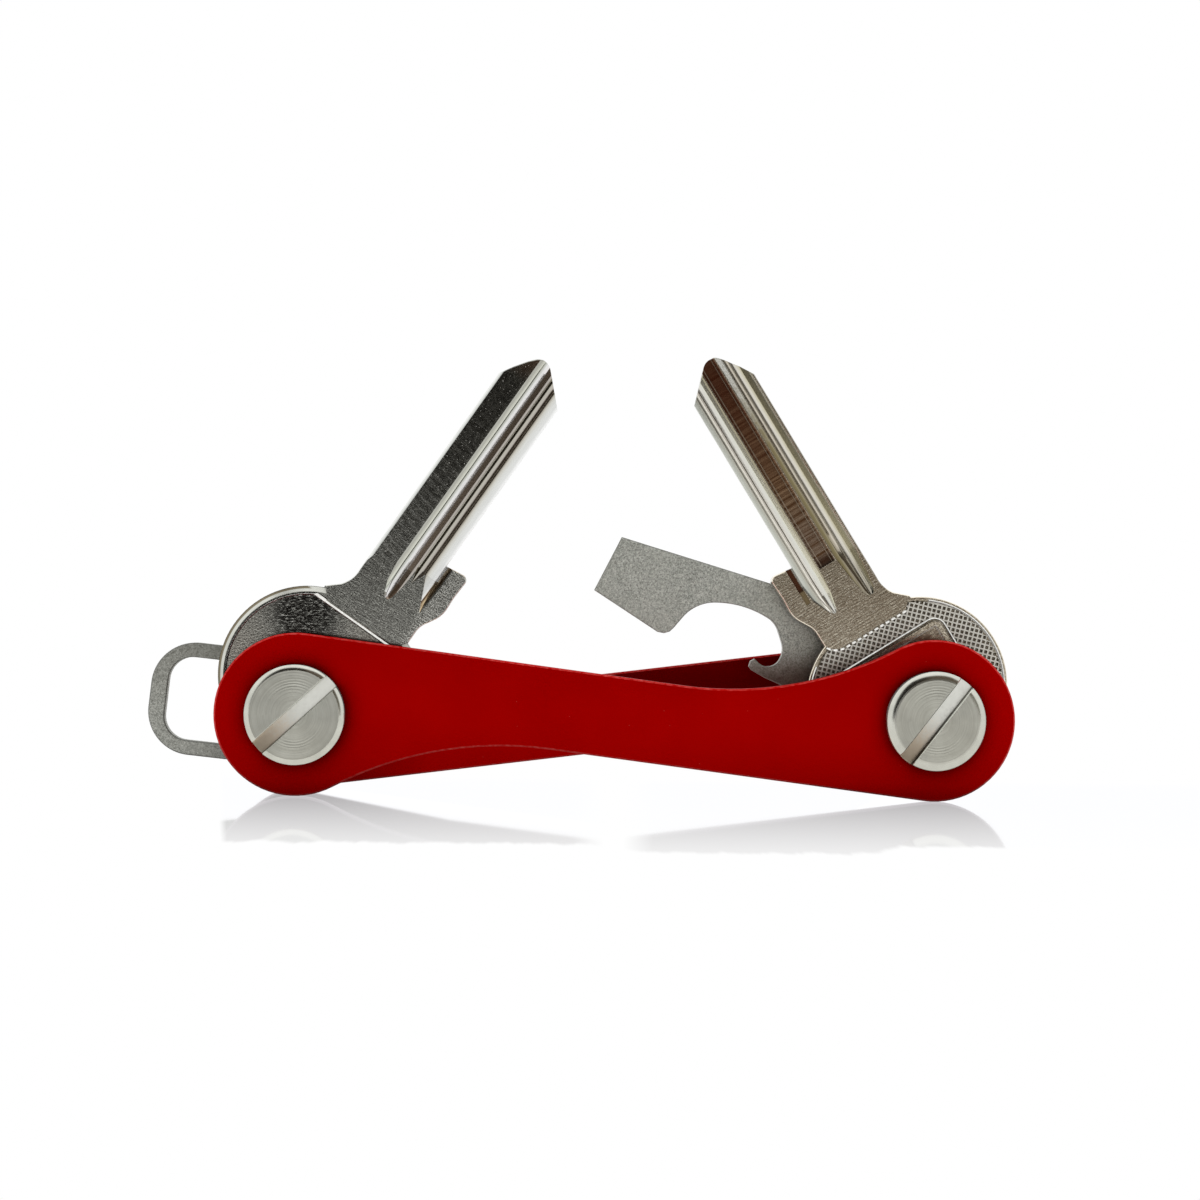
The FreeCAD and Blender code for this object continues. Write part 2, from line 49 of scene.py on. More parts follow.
# Each key at rest: blade direction in degrees, which way its cut edge lies from it, and
# the hole's place (along, across) from the bow centre.
# Key coordinates run along the blade from the bow centre and across it towards the cut edge.
# Face B looks to the front on the right key and to the back on the left key.
KEY = {
    "left_key": {"pivot": LEFT_PIVOT, "angle": 55.39, "side": -1, "hole": (-4.55, -0.20)},
    "right_key": {"pivot": RIGHT_PIVOT, "angle": 121.88, "side": 1, "hole": (-4.20, -0.50)},
}
KEY_THICK = 2.14
BLADE_HALF = 4.2             # half the width of the blade
CHORD = 8.92                 # where the bow ends and the blade begins
BOW_R, BOW_SHIFT = 10.9, 1.95       # the bow's two main arcs, centred this far either side
TIGHT_START, TIGHT_R = 6.0, 8.6     # a tighter arc takes over at this place along
HOLE_R = 2.57
PANEL_ALONG, PANEL_ACROSS = (-5.0, 5.92), (-8.05, 7.0)
PANEL_CORNER_R = 1.1
MOAT_W = 0.28                # groove round the panel
FIELD_STEP = 0.22            # depth of the knurled field below face B

# Lower edge of the back plate: z = rise * x + start
EDGE_RISE, EDGE_START = 0.1272, 4.30
EDGE_STRIP = 1.85

# Light of the table and the tent, scene units
FLOOR_GLOW = 1.05
TENT_SIDE = 1.02
TENT_TOP = 1.25


def linear(level):
    """Linear value of an sRGB level from 0 to 255."""
    level /= 255.0
    return level / 12.92 if level <= 0.04045 else ((level + 0.055) / 1.055) ** 2.4


def key_axes(key):
    """Unit vectors along and across a key."""
    angle, side = math.radians(KEY[key]["angle"]), KEY[key]["side"]
    return ((math.cos(angle), 0.0, math.sin(angle)),
            (-math.sin(angle) * side, 0.0, math.cos(angle) * side))


def key_mid_y(key):
    """Middle of the key's thickness, in metres."""
    low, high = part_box(key)
    return (low.y + high.y) / 2


# ---------------------------------------------------------------- shader building
class Signal:
    """A node's output. Arithmetic and comparison add Math nodes, operands as written."""

    def __init__(self, tree, socket):
        self.tree = tree
        self.socket = socket

    def __add__(self, other):
        return self.tree.math("ADD", self, other)

    def __sub__(self, other):
        return self.tree.math("SUBTRACT", self, other)

    def __rsub__(self, other):
        return self.tree.math("SUBTRACT", other, self)

    def __mul__(self, other):
        return self.tree.math("MULTIPLY", self, other)

    def __truediv__(self, other):
        return self.tree.math("DIVIDE", self, other)

    def __lt__(self, other):
        return self.tree.math("LESS_THAN", self, other)

    def __gt__(self, other):
        return self.tree.math("GREATER_THAN", self, other)

    def __abs__(self):
        return self.tree.math("ABSOLUTE", self)

    def parts(self):
        """The x, y and z of a vector."""
        node = self.tree.nodes.new("ShaderNodeSeparateXYZ")
        self.tree.put(node.inputs[0], self)
        return [Signal(self.tree, socket) for socket in node.outputs]

    def ramp(self, span, to=(0.0, 1.0), smooth=False):
        """Goes from to[0] at span[0] to to[1] at span[1], and is held beyond them."""
        return self.tree.node("MapRange", dict(enumerate((self, *span, *to))), clamp=True,
                              interpolation_type="SMOOTHSTEP" if smooth else "LINEAR")

    def window(self, first, second):
        """Product of two 0 to 1 ramps, each given by its span."""
        return self.ramp(span=first) * self.ramp(span=second)

    def noise(self, scale=1.0, detail=2.0, rough=0.5):
        return self.tree.node("TexNoise", {"Vector": self, "Scale": scale, "Detail": detail,
                                           "Roughness": rough})

    def paint(self, amount, tint):
        """This colour covered with tint by amount."""
        return self.tree.mix(amount, low=self, high=tint)

    def fade(self, amount, to):
        """This number drawn towards another by amount."""
        return self.tree.blend(amount, low=self, high=to)


class Tree:
    """Small builder for a node tree."""

    def __init__(self, node_tree):
        self.nodes, self.links = node_tree.nodes, node_tree.links
        self.nodes.clear()
        self.sources = {}

    def put(self, socket, value):
        """Links a Signal or sets a value; colours are given as three numbers."""
        if isinstance(value, Signal):
            self.links.new(value.socket, socket)
        elif value is not None:
            socket.default_value = (*value, 1.0) if socket.type == "RGBA" else value

    def node(self, kind, inputs, output=0, **settings):
        """Adds a node and returns one of its outputs; inputs maps slots to what goes in."""
        node = self.nodes.new("ShaderNode" + kind)
        for name, value in settings.items():
            setattr(node, name, value)
        for slot, value in inputs.items():
            self.put(node.inputs[slot], value)
        return Signal(self, node.outputs[output])

    def source(self, kind, output):
        """An output of a node without inputs, of which the tree keeps one per kind."""
        if kind not in self.sources:
            self.sources[kind] = self.nodes.new("ShaderNode" + kind)
        return Signal(self, self.sources[kind].outputs[output])

    def math(self, operation, first, second=None):
        return self.node("Math", {0: first, 1: second}, operation=operation)

    def vec(self, operation, first, second=None, scale=None):
        inputs = {0: first}
        if second is not None:
            inputs[1] = second
        if scale is not None:
            inputs["Scale"] = scale
        number = operation in ("DOT_PRODUCT", "LENGTH", "DISTANCE")
        return self.node("VectorMath", inputs, output="Value" if number else "Vector",
                         operation=operation)

    def comb(self, x, y, z):
        return self.node("CombineXYZ", {0: x, 1: y, 2: z})

    def streaks(self, first, second, stretch, seed, detail=2.0, rough=0.5):
        """Noise over two coordinates, with the features per mm along each set by stretch."""
        place = self.comb(first * stretch[0], second * stretch[1], seed)
        return place.noise(detail=detail, rough=rough)

    def mix(self, amount, low, high):
        """Colour going from low to high as amount goes from 0 to 1."""
        return self.node("Mix", {0: amount, 6: low, 7: high}, output=2, data_type="RGBA")

    def blend(self, amount, low, high):
        """Number going from low to high as amount goes from 0 to 1."""
        return self.node("Mix", {0: amount, 2: low, 3: high}, data_type="FLOAT")


class Surface(Tree):
    """Builder for a material's node tree."""

    def __init__(self, name):
        self.material = bpy.data.materials.new(name)
        self.material.use_nodes = True
        super().__init__(self.material.node_tree)
        self.out = self.nodes.new("ShaderNodeOutputMaterial")

    def finish(self, shader):
        self.put(self.out.inputs[0], shader)
        return self.material

    def principled(self, **inputs):
        inputs = {name.replace("_", " "): value for name, value in inputs.items()}
        return self.finish(self.node("BsdfPrincipled", inputs))

    def point_mm(self):
        """The point in the frame at rest, in mm: it stays put on a piece that swings."""
        return self.vec("SCALE", self.source("TexCoord", "Object"), scale=1000.0)

    def facing_y(self):
        """How far the true surface faces along Y, which every joint keeps."""
        return abs(self.source("NewGeometry", "True Normal").parts()[1])

    def voronoi(self, point, scale):
        return self.node("TexVoronoi", {"Vector": point, "Scale": scale})

    def turn(self, vector, kind, source, target):
        return self.node("VectorTransform", {0: vector}, vector_type=kind,
                         convert_from=source, convert_to=target)

    def local_normal(self):
        """The true normal in the piece's own frame, which swings with it."""
        normal = self.source("NewGeometry", "True Normal")
        return self.turn(normal, kind="NORMAL", source="WORLD", target="OBJECT")

    def to_world(self, vector):
        return self.turn(vector, kind="VECTOR", source="OBJECT", target="WORLD")

    def bump(self, height, depth, strength=1.0, radius=None):
        """Normal from a height map, on edges rounded to radius where one is given."""
        rounded_normal = None
        if radius is not None:
            rounded_normal = self.node("Bevel", {"Radius": radius * MM}, samples=4)
        return self.node("Bump", {"Strength": strength, "Distance": depth * MM,
                                  "Height": height, "Normal": rounded_normal})

    def tilt(self, normal, lean):
        """The normal pushed over by a vector in the piece's own frame."""
        return self.vec("NORMALIZE", self.vec("ADD", normal, self.to_world(lean)))

    def crevice_shade(self, reach, span, most):
        """Painted shade: falls from most to 0 as the surroundings within reach mm open up over
        span.
        """
        opening = self.node("AmbientOcclusion", {"Distance": reach * MM}, output="AO",
                            samples=6)
        return opening.ramp(span=span, to=(most, 0.0))

    def bands(self, place, stops):
        """A colour ramp through (place, (r, g, b) in sRGB 0-255) stops."""
        node = self.nodes.new("ShaderNodeValToRGB")
        elements = node.color_ramp.elements
        while len(elements) > 1:
            elements.remove(elements[-1])
        for index, (at, colour) in enumerate(stops):
            element = elements.new(at) if index else elements[0]
            element.position = at
            element.color = (*[linear(level) for level in colour], 1.0)
        self.put(node.inputs[0], place)
        return Signal(self, node.outputs[0])


# ---------------------------------------------------------------- plates
def mirror_glow_strip(mat, point, mirror):
    """The strip along the lower edge of the back plate, given a painted white glow where a
    mirror ray sees it.
    """
    x, _, z = point.parts()
    above_edge = z - (x * EDGE_RISE + EDGE_START)
    width = x.ramp(span=(-35.0, -16.0), to=(0.6, EDGE_STRIP))
    strip = (above_edge - width).ramp(span=(0.1, -0.1))
    low_right = z.ramp(span=(2.6, 2.4)) * x.ramp(span=(15.0, 20.0))
    return mat.math("MAXIMUM", strip, low_right) * mirror


def red_anodised(name, back=False):
    mat = Surface(name)
    point = mat.point_mm()
    grain = point.noise(scale=9.0, detail=3.0, rough=0.6)
    fine = point.noise(scale=26.0, detail=1.0)
    cloud = point.noise(scale=0.09)
    speck = mat.voronoi(point, scale=0.55)
    edge = mat_edge = mat.facing_y().window
    edge = mat_edge((0.25, 0.45), (0.98, 0.9))
    patches = point.noise(scale=1.9, detail=3.0, rough=0.65)
    wear = edge * patches.ramp(span=(0.36, 0.74), to=(0.0, 0.42))
    base = mat.mix(cloud.ramp(span=(0.35, 0.65)), low=(0.435, 0.0, 0.0),
                   high=(0.49, 0.0004, 0.0002))
    base = base.paint(grain.ramp(span=(0.3, 0.7), to=(0.0, 0.35)), tint=(0.40, 0.0, 0.0))
    dust = speck.ramp(span=(0.035, 0.02), to=(0.0, 0.5))
    base = base.paint(dust, tint=(0.85, 0.14, 0.12))
    base = base.paint(wear, tint=(0.88, 0.17, 0.15))
    # painted shade: darker round the heads and other raised parts, within 2.4 mm
    base = base.paint(mat.crevice_shade(reach=2.4, span=(0.55, 0.98), most=0.62),
                      tint=(0.10, 0.0, 0.0))
    # painted shade: darker between the plates and low down near the table, within 11 mm
    base = base.paint(mat.crevice_shade(reach=11.0, span=(0.30, 0.95), most=0.72),
                      tint=(0.03, 0.0, 0.0))
    if back:
        # painted shade: high on the inner face, between the tools, the colour is darkened as
        # shadow
        upper = point.parts()[2].ramp(span=(10.5, 13.0))
        inner = upper * mat.local_normal().parts()[1].ramp(span=(-0.5, -0.8))
        base = base.paint(inner * 0.55, tint=(0.02, 0.0, 0.0))

    # painted reflection: in the table's mirror image the plate is painted grey, all but
    # colourless
    from_below = mat.source("NewGeometry", "Incoming").parts()[2] < -0.004
    mirror = mat.source("LightPath", "Is Glossy Ray") * from_below
    base = base.paint(mirror, tint=(0.30, 0.26, 0.28))
    glow = {}
    if back:
        # painted glow: the strip along the lower edge shows there as plain white light, though
        # the plate is no lamp
        strip = mirror_glow_strip(mat, point, mirror)
        base = base.paint(strip, tint=(0.0, 0.0, 0.0))
        glow = {"Emission_Color": (1.0, 1.0, 1.0), "Emission_Strength": strip * 1.04}
    rough = grain.ramp(span=(0.25, 0.75), to=(0.42, 0.52)).fade(edge, to=0.46)
    height = grain * 0.7 + fine * 0.3
    return mat.principled(Base_Color=base, Metallic=0.80, Roughness=rough,
                          Specular_IOR_Level=0.0, **glow,
                          Normal=mat.bump(height, depth=0.010, strength=0.5, radius=0.04))


# ---------------------------------------------------------------- screw heads
HEAD_REACH = 6.0        # distance from the axis at which the place along the slot counts 1


def turned_steel(name, centre, slot_angle):
    """Lathe-faced screw head: fine concentric tool marks about its axis, a disc-cut slot."""
    mat = Surface(name)
    point = mat.point_mm()
    x, y, z = mat.vec("SUBTRACT", point, (centre.x / MM, 0.0, centre.z / MM)).parts()
    radius = mat.vec("LENGTH", mat.comb(x, 0.0, z))
    bearing = mat.math("ARCTAN2", z, x)
    front = mat.facing_y().ramp(span=(0.985, 0.995))
    # the slot's floor is told by its distance from the y = 0 plane
    slot = abs(y).window((8.75, 8.6), (7.7, 7.8))
    cosine = math.cos(math.radians(slot_angle))
    sine = math.sin(math.radians(slot_angle))
    along = x * (cosine / HEAD_REACH) + z * (sine / HEAD_REACH)
    face = front * (1.0 - slot)

    # tool marks: fine rings, and coarse ones that come and go with the radius
    wobble = mat.comb(bearing * 0.5, radius, 0.0).noise(scale=2.0) * 0.05
    ring = radius + wobble
    lines = mat.streaks(ring, bearing, stretch=(9.0, 0.06), seed=3.3, detail=3.0, rough=0.7)
    coarse = mat.math("SINE", ring * 19.0)
    strength = mat.comb(radius * 0.9, 0.0, 1.7).noise(detail=1.0)
    coarse = coarse * strength.ramp(span=(0.40, 0.6), to=(0.0, 0.45))
    rings = lines + coarse
    scratch = mat.vec("MULTIPLY", point, (1.4, 1.0, 14.0)).noise(detail=4.0, rough=0.7)
    stain = point.noise(scale=0.55, detail=3.0, rough=0.55)
    pit = point.noise(scale=3.1, detail=3.0, rough=0.7)
    base = mat.mix(stain.ramp(span=(0.35, 0.7)), low=(0.55, 0.55, 0.49),
                   high=(0.64, 0.64, 0.57))
    # painted shade: darker towards the bottom of the head
    base = base.paint(z.ramp(span=(1.5, -4.0), to=(0.0, 0.22)), tint=(0.30, 0.28, 0.22))
    base = base.paint(face * lines.ramp(span=(0.38, 0.66), to=(0.0, 0.42)),
                      tint=(0.36, 0.35, 0.29))

    # painted shade: the slot is bright at one end and shades to brown at the other
    slot_shade = (along + (pit - 0.5) * 0.9).ramp(span=(0.15, -0.75), smooth=True)
    slot_base = mat.mix(slot_shade, low=(0.66, 0.66, 0.61), high=(0.60, 0.51, 0.40))
    across = x * -sine + z * cosine
    # painted shadow: a dark line along one side of the slot
    rim = (across + point.noise(scale=1.2) * 0.08).ramp(span=(-0.70, -0.80))
    slot_base = slot_base.paint(rim * 0.8, tint=(0.10, 0.09, 0.07))
    base = base.paint(slot, tint=slot_base)
    rough = scratch.ramp(span=(0.3, 0.7), to=(0.14, 0.24))
    rough = rough.fade(face, to=lines.ramp(span=(0.3, 0.7), to=(0.28, 0.40)))
    rough = rough.fade(slot, to=pit.ramp(span=(0.3, 0.7), to=(0.28, 0.42)))
    tangent = mat.to_world(mat.vec("NORMALIZE", mat.comb(z, 0.0, x * -1.0)))
    height = rings * face + scratch * 0.12
    height = height + slot * (pit * 1.1)
    normal = mat.bump(height, depth=0.006, strength=0.8, radius=0.05)

    # the cutter's disc leaves the slot's floor hollow along its length
    lean = (slot * front) * (along * -0.24)
    lean = lean - (slot * front) * 0.10
    normal = mat.tilt(normal, mat.vec("SCALE", (cosine, 0.0, sine), scale=lean))
    return mat.principled(Base_Color=base, Metallic=1.0, Roughness=rough,
                          Anisotropic=face * 0.75, Tangent=tangent, Normal=normal)


# ---------------------------------------------------------------- keys
# Tones across the blade for the two milled faces: polished ribs, dull floors and dirt lines
# left along the corners, with painted highlights and painted shade for how each band catches
# the light. Columns: place from the spine (0) to the cut edge (1), sRGB colour.
FACE_A_TONES_AND_LIGHT = [
    (0.0, (238, 238, 235)), (0.022, (222, 223, 219)), (0.045, (170, 171, 166)),
    (0.065, (110, 110, 104)), (0.380, (185, 185, 176)), (0.410, (172, 172, 163)),
    (0.440, (200, 200, 188)), (0.455, (216, 218, 206)), (0.466, (158, 161, 150)),
    (0.490, (208, 208, 202)), (0.510, (232, 232, 231)), (0.550, (240, 236, 235)),
    (0.575, (172, 154, 136)), (0.630, (168, 150, 132)), (0.642, (178, 171, 164)),
    (0.668, (178, 172, 164)), (0.682, (190, 184, 168)), (0.692, (140, 132, 112)),
    (0.702, (118, 108, 80)), (0.728, (180, 176, 164)), (0.745, (190, 186, 176)),
    (0.765, (184, 178, 170)), (0.785, (150, 140, 128)), (0.812, (196, 184, 166)),
    (0.830, (135, 128, 115)), (0.845, (176, 171, 160)), (0.862, (202, 200, 191)),
    (0.905, (216, 217, 213)), (0.960, (221, 222, 220)), (1.0, (247, 247, 246)),
]
FACE_B_TONES_AND_LIGHT = [
    (0.0, (205, 203, 197)), (0.022, (158, 155, 144)), (0.045, (218, 213, 194)),
    (0.065, (176, 168, 138)), (0.120, (182, 173, 132)), (0.150, (202, 198, 180)),
    (0.172, (219, 215, 202)), (0.205, (206, 202, 194)), (0.228, (196, 190, 172)),
    (0.245, (190, 183, 169)), (0.268, (190, 182, 168)), (0.290, (160, 152, 134)),
    (0.312, (158, 149, 124)), (0.330, (128, 119, 88)), (0.370, (110, 99, 70)),
    (0.388, (190, 180, 160)), (0.400, (150, 132, 108)), (0.680, (190, 182, 162)),
    (0.695, (140, 134, 108)), (0.712, (205, 202, 176)), (0.745, (221, 222, 198)),
    (0.768, (216, 216, 207)), (0.800, (221, 220, 212)), (0.825, (232, 229, 220)),
    (0.846, (184, 178, 162)), (0.862, (248, 244, 234)), (0.876, (246, 241, 230)),
    (0.890, (202, 198, 186)), (0.908, (178, 175, 163)), (0.930, (182, 180, 168)),
    (0.955, (182, 184, 174)), (1.0, (204, 206, 198)),
]
LINE_PITCH = 0.36            # ruled lines on the right key's blade
CHATTER_PITCH = 1.05         # ripples on the left key's blade


class KeyNickel(Surface):
    """Worn nickel of one key. Each method lays its marks over the base colour in turn."""

    def __init__(self, key):
        super().__init__("nickel_" + key)
        self.right = key == "right_key"
        self.dark = (0.27, 0.205, 0.14) if self.right else (0.13, 0.125, 0.11)
        self.point = self.point_mm()
        self.locate(key)
        self.textures()
        self.plating()
        self.tarnish()
        if not self.right:
            self.left_marks()
        self.flecks()
        self.grooves()
        self.groove_ends()
        self.channel()
        self.pad()
        self.panel()
        # painted shade: darker where other parts stand within 1.2 mm
        self.base = self.base.paint(self.crevice_shade(reach=1.2, span=(0.35, 0.9), most=0.55),
                                    tint=(0.03, 0.025, 0.02))
        self.principled(Base_Color=self.base, Metallic=1.0, Roughness=self.rough,
                        Normal=self.normal(key))

    def locate(self, key):
        """Where a point is on the key: coordinates, depth below a face, and masks."""
        pivot, hole = KEY[key]["pivot"] / MM, KEY[key]["hole"]
        along_axis, across_axis = key_axes(key)
        offset = self.vec("SUBTRACT", self.point, (pivot[0], 0.0, pivot[2]))
        self.along = self.vec("DOT_PRODUCT", offset, along_axis) + hole[0]
        self.across = self.vec("DOT_PRODUCT", offset, across_axis) + hole[1]
        self.flat = self.facing_y().ramp(span=(0.985, 0.997))
        self.blade = self.along.ramp(span=(CHORD - 0.1, CHORD + 0.1))
        # 0 at the spine and 1 at the cut edge
        self.frac = (self.across + BLADE_HALF) / (2 * BLADE_HALF)
        y = self.point.parts()[1]
        mid = key_mid_y(key) / MM
        self.depth = KEY_THICK / 2 - abs(y - mid)
        # land: the outermost flats, without the floors milled into the blade
        self.land = self.flat * (1.0 - self.blade * self.depth.ramp(span=(0.03, 0.08)))
        self.side_b = ((y - mid) * (-1.0 if self.right else 1.0)) > 0.0

    def textures(self):
        along, across, point = self.along, self.across, self.point
        self.waver = self.streaks(along, across, stretch=(0.8, 0.25), seed=4.0, detail=3.0,
                                  rough=0.65)
        # fine lines across the blade left by the belt that dressed the blank
        warp = self.streaks(along, across, stretch=(0.4, 0.4), seed=0.0, detail=1.0) * 0.5
        self.belt = self.streaks(along + warp, across, stretch=(5.5, 0.65), seed=0.0,
                                 detail=3.0, rough=0.7)
        fine_belt = self.streaks(along, across, stretch=(16.0, 3.0), seed=5.0, rough=0.6)
        self.orange = point.noise(scale=3.6, detail=3.0, rough=0.65)
        self.pits = point.noise(scale=6.5, rough=0.6)
        self.speck = self.voronoi(point, scale=2.6)
        self.blot = point.noise(scale=1.3, detail=3.0, rough=0.7)
        # long draw marks inside the milled grooves
        self.draw = self.streaks(along, across, stretch=(0.35, 16.0), seed=2.0, detail=3.0,
                                 rough=0.7)
        self.cloud = point.noise(scale=0.35, detail=3.0, rough=0.6)
        bow_height = self.orange * 2.4 + self.pits * 0.8
        blade_height = self.belt * 1.5 + (fine_belt * 0.35 + self.pits * 0.7)
        land_height = bow_height.fade(self.blade, to=blade_height)
        groove_height = self.draw * 0.35 + self.pits * 0.08
        self.height = groove_height.fade(self.land, to=land_height)

    def plating(self):
        along, across, blot = self.along, self.across, self.blot
        clouds = self.cloud.ramp(span=(0.35, 0.68))
        if self.right:
            base = self.mix(clouds, low=(0.76, 0.69, 0.56), high=(0.90, 0.83, 0.69))
            drift = self.streaks(along, across, stretch=(1.2, 0.5), seed=8.0) * 9.0
            ruled = self.math("SINE", along * (2 * math.pi / LINE_PITCH) + drift)
            line = (ruled.ramp(span=(-0.2, 0.9), to=(0.0, 0.62))
                    * blot.ramp(span=(0.35, 0.6), to=(0.45, 1.0)))
            self.base = base.paint((self.land * self.blade) * line,
                                   tint=(0.20, 0.145, 0.09))
            return
        base = self.mix(clouds, low=(0.55, 0.55, 0.50), high=(0.66, 0.66, 0.60))
        # tarnish deepens towards the tip on the spine side
        spine = (along.ramp(span=(12.0, 32.0), to=(0.0, 0.66))
                 * self.frac.ramp(span=(0.40, 0.33)))
        base = base.paint(spine, tint=(0.17, 0.165, 0.145))
        self.base = base.paint(spine * blot.ramp(span=(0.48, 0.56), to=(0.0, 0.95)),
                               tint=(0.03, 0.028, 0.022))

    def tarnish(self):
        tarnish = self.land * self.pits.ramp(span=(0.38, 0.60), to=(0.0, 0.75))
        base = self.base.paint(tarnish, tint=self.dark)
        streak = (self.land * self.blade) * self.belt.ramp(span=(0.45, 0.66), to=(0.0, 0.6))
        self.base = base.paint(streak, tint=self.dark)

    def left_marks(self):
        along, across, pits = self.along, self.across, self.pits
        # chatter: ripples across the flat at an even pitch
        sway = self.streaks(along, across, stretch=(0.9, 0.30), seed=1.0, rough=0.6)
        phase = (along + across * 0.25) * (2 * math.pi / CHATTER_PITCH) + sway * 5.0
        chatter = (self.math("SINE", phase).ramp(span=(0.1, 1.0), smooth=True)
                   * pits.ramp(span=(0.40, 0.56), to=(0.25, 1.0)))
        chatter = chatter * along.window((14.0, 18.0), (42.0, 26.0))
        base = self.base.paint(chatter * (self.land * 0.42), tint=(0.74, 0.74, 0.69))
        # brown tip
        base = base.paint(along.ramp(span=(44.5, 47.5), to=(0.0, 0.7)) * self.flat,
                          tint=(0.50, 0.33, 0.22))
        # pale shoulder beyond the cut edge
        shoulder = across.ramp(span=(4.3, 5.6)) * along.ramp(span=(22.5, 21.5))
        unpitted = self.blade * pits.ramp(span=(0.56, 0.42), to=(0.0, 0.62))
        self.base = base.paint(shoulder * (self.land * unpitted), tint=(1.0, 0.99, 0.92))

    def flecks(self):
        rough = self.draw.ramp(span=(0.3, 0.7), to=(0.10, 0.20))
        rough = rough.fade(self.land, to=self.orange.ramp(span=(0.3, 0.7), to=(0.15, 0.24)))
        fleck = self.land * self.speck.ramp(span=(0.18, 0.09))
        fleck = fleck * self.orange.ramp(span=(0.42, 0.58))
        self.rough = rough.fade(fleck, to=0.60)
        self.base = self.base.paint(fleck, tint=(0.78, 0.77, 0.72))

    def grooves(self):
        """The milled grooves, toned across the blade with their colours and with painted
        highlights and shade.
        """
        frac, draw = self.frac, self.draw
        self.floor = self.depth.ramp(span=(0.05, 0.12)) * self.flat
        groove = self.blade * self.math("MAXIMUM", 1.0 - self.flat, self.floor)
        self.groove = groove * self.across.window((-4.5, -4.4), (4.5, 4.4))
        wavy = frac + (self.waver - 0.5) * 0.012
        tone = self.mix(self.side_b, low=self.bands(wavy, FACE_A_TONES_AND_LIGHT),
                        high=self.bands(wavy, FACE_B_TONES_AND_LIGHT))
        tone = tone.paint(draw.ramp(span=(0.40, 0.70), to=(0.0, 0.30)),
                          tint=tone.paint(amount=0.5, tint=self.dark))
        # one groove of face B turns silver towards the tip
        silver = self.side_b * frac.window((0.292, 0.305), (0.392, 0.384))
        patchy = self.along + (self.blot - 0.5) * 8.0
        silver = silver * patchy.ramp(span=(36.0, 46.0), to=(0.0, 0.8))
        tone = tone.paint(silver, tint=self.mix(self.pits.ramp(span=(0.40, 0.60)),
                                                low=(0.42, 0.42, 0.39),
                                                high=(0.66, 0.66, 0.63)))
        self.base = self.base.paint(self.groove, tint=tone)

    def groove_ends(self):
        along, across = self.along, self.across
        # painted reflection: the run-out of the outer groove across the shoulder is painted dark
        # brown and golden
        sloped = self.depth.ramp(span=(0.03, 0.06)) * self.facing_y().ramp(span=(0.25, 0.35))
        run_out = (1.0 - self.flat) * sloped
        run_out = run_out * across.window((4.15, 4.25), (7.2, 6.9))
        run_out = run_out * along.window((13.0, 13.4), (21.9, 21.5))
        run_out = run_out * (1.0 - self.side_b)
        run_out_reflection = self.streaks(along, across, stretch=(0.5, 4.5), seed=3.0, rough=0.6)
        base = self.base.paint(run_out, tint=self.mix(run_out_reflection.ramp(span=(0.40, 0.60)),
                                                      low=(0.10, 0.055, 0.03),
                                                      high=(0.62, 0.48, 0.30)))
        # dark brown where the grooves run out on the shoulder
        tail = self.frac.ramp(span=(0.42, 0.38)) * along.ramp(span=(20.5, 15.0),
                                                              to=(0.0, 0.75))
        tail = (self.groove * self.side_b) * tail
        self.base = base.paint(tail * self.draw.ramp(span=(0.42, 0.56), to=(0.35, 1.0)),
                               tint=(0.13, 0.105, 0.05))
        self.rough = self.rough.fade(self.floor * self.blade, to=0.26)

    def channel(self):
        """The flat channel between the ribs of face B is unplated and brown."""
        along, across, frac, depth = self.along, self.across, self.frac, self.depth
        inside = frac.window((0.395, 0.405), (0.669, 0.660))
        inside = inside * along.ramp(span=(18.6, 18.7))
        inside = inside * depth.ramp(span=(0.70, 0.78))
        inside = inside * self.side_b
        rung = self.streaks(along, across, stretch=(2.1, 0.03), seed=9.0, detail=3.0,
                            rough=0.75)
        pale = self.mix(along.ramp(span=(30.0, 23.0)), low=(0.62, 0.40, 0.24),
                        high=(0.52, 0.40, 0.31))
        brown = self.mix(rung.ramp(span=(0.40, 0.62)), low=(0.19, 0.092, 0.042), high=pale)
        brown = brown.paint(along.ramp(span=(27.0, 44.0), to=(0.0, 0.72)),
                            tint=(0.17, 0.032, 0.015))
        brown = brown.paint(along.ramp(span=(20.3, 19.6), to=(0.0, 0.80)),
                            tint=(0.07, 0.025, 0.013))
        # painted highlights: pale lines near both sides of the channel
        channel_highlight = self.math("MAXIMUM", abs(frac - 0.436).ramp(span=(0.007, 0.003)),
                         abs(frac - 0.610).ramp(span=(0.009, 0.004)))
        brown = brown.paint(channel_highlight * 0.7, tint=(0.85, 0.72, 0.58))
        base = self.base.paint(inside, tint=brown)
        # a small brown recess on the shoulder, beyond the cut edge
        recess = across.ramp(span=(4.44, 4.50)) * (along.ramp(span=(15.6, 15.75))
                                                   * depth.ramp(span=(0.04, 0.10)))
        recess = recess * (self.side_b * across.ramp(span=(5.22, 5.12)))
        recess = recess * along.ramp(span=(21.2, 20.9))
        self.base = base.paint(recess, tint=self.mix(along.ramp(span=(17.4, 17.6)),
                                                     low=(0.33, 0.25, 0.14),
                                                     high=(0.14, 0.055, 0.028)))

    def pad(self):
        """Face A of the bow: a rolled rim round a pad, its outer band darkened as painted shade,
        with painted dark reflection and scratches near one corner.
        """
        along, across = self.along, self.across
        self.bow = 1.0 - self.blade
        from_centre = self.vec("LENGTH", self.comb(along, abs(across) - BOW_SHIFT, 0.0))
        inset = BOW_R - from_centre
        face_a = self.bow * (1.0 - self.side_b)
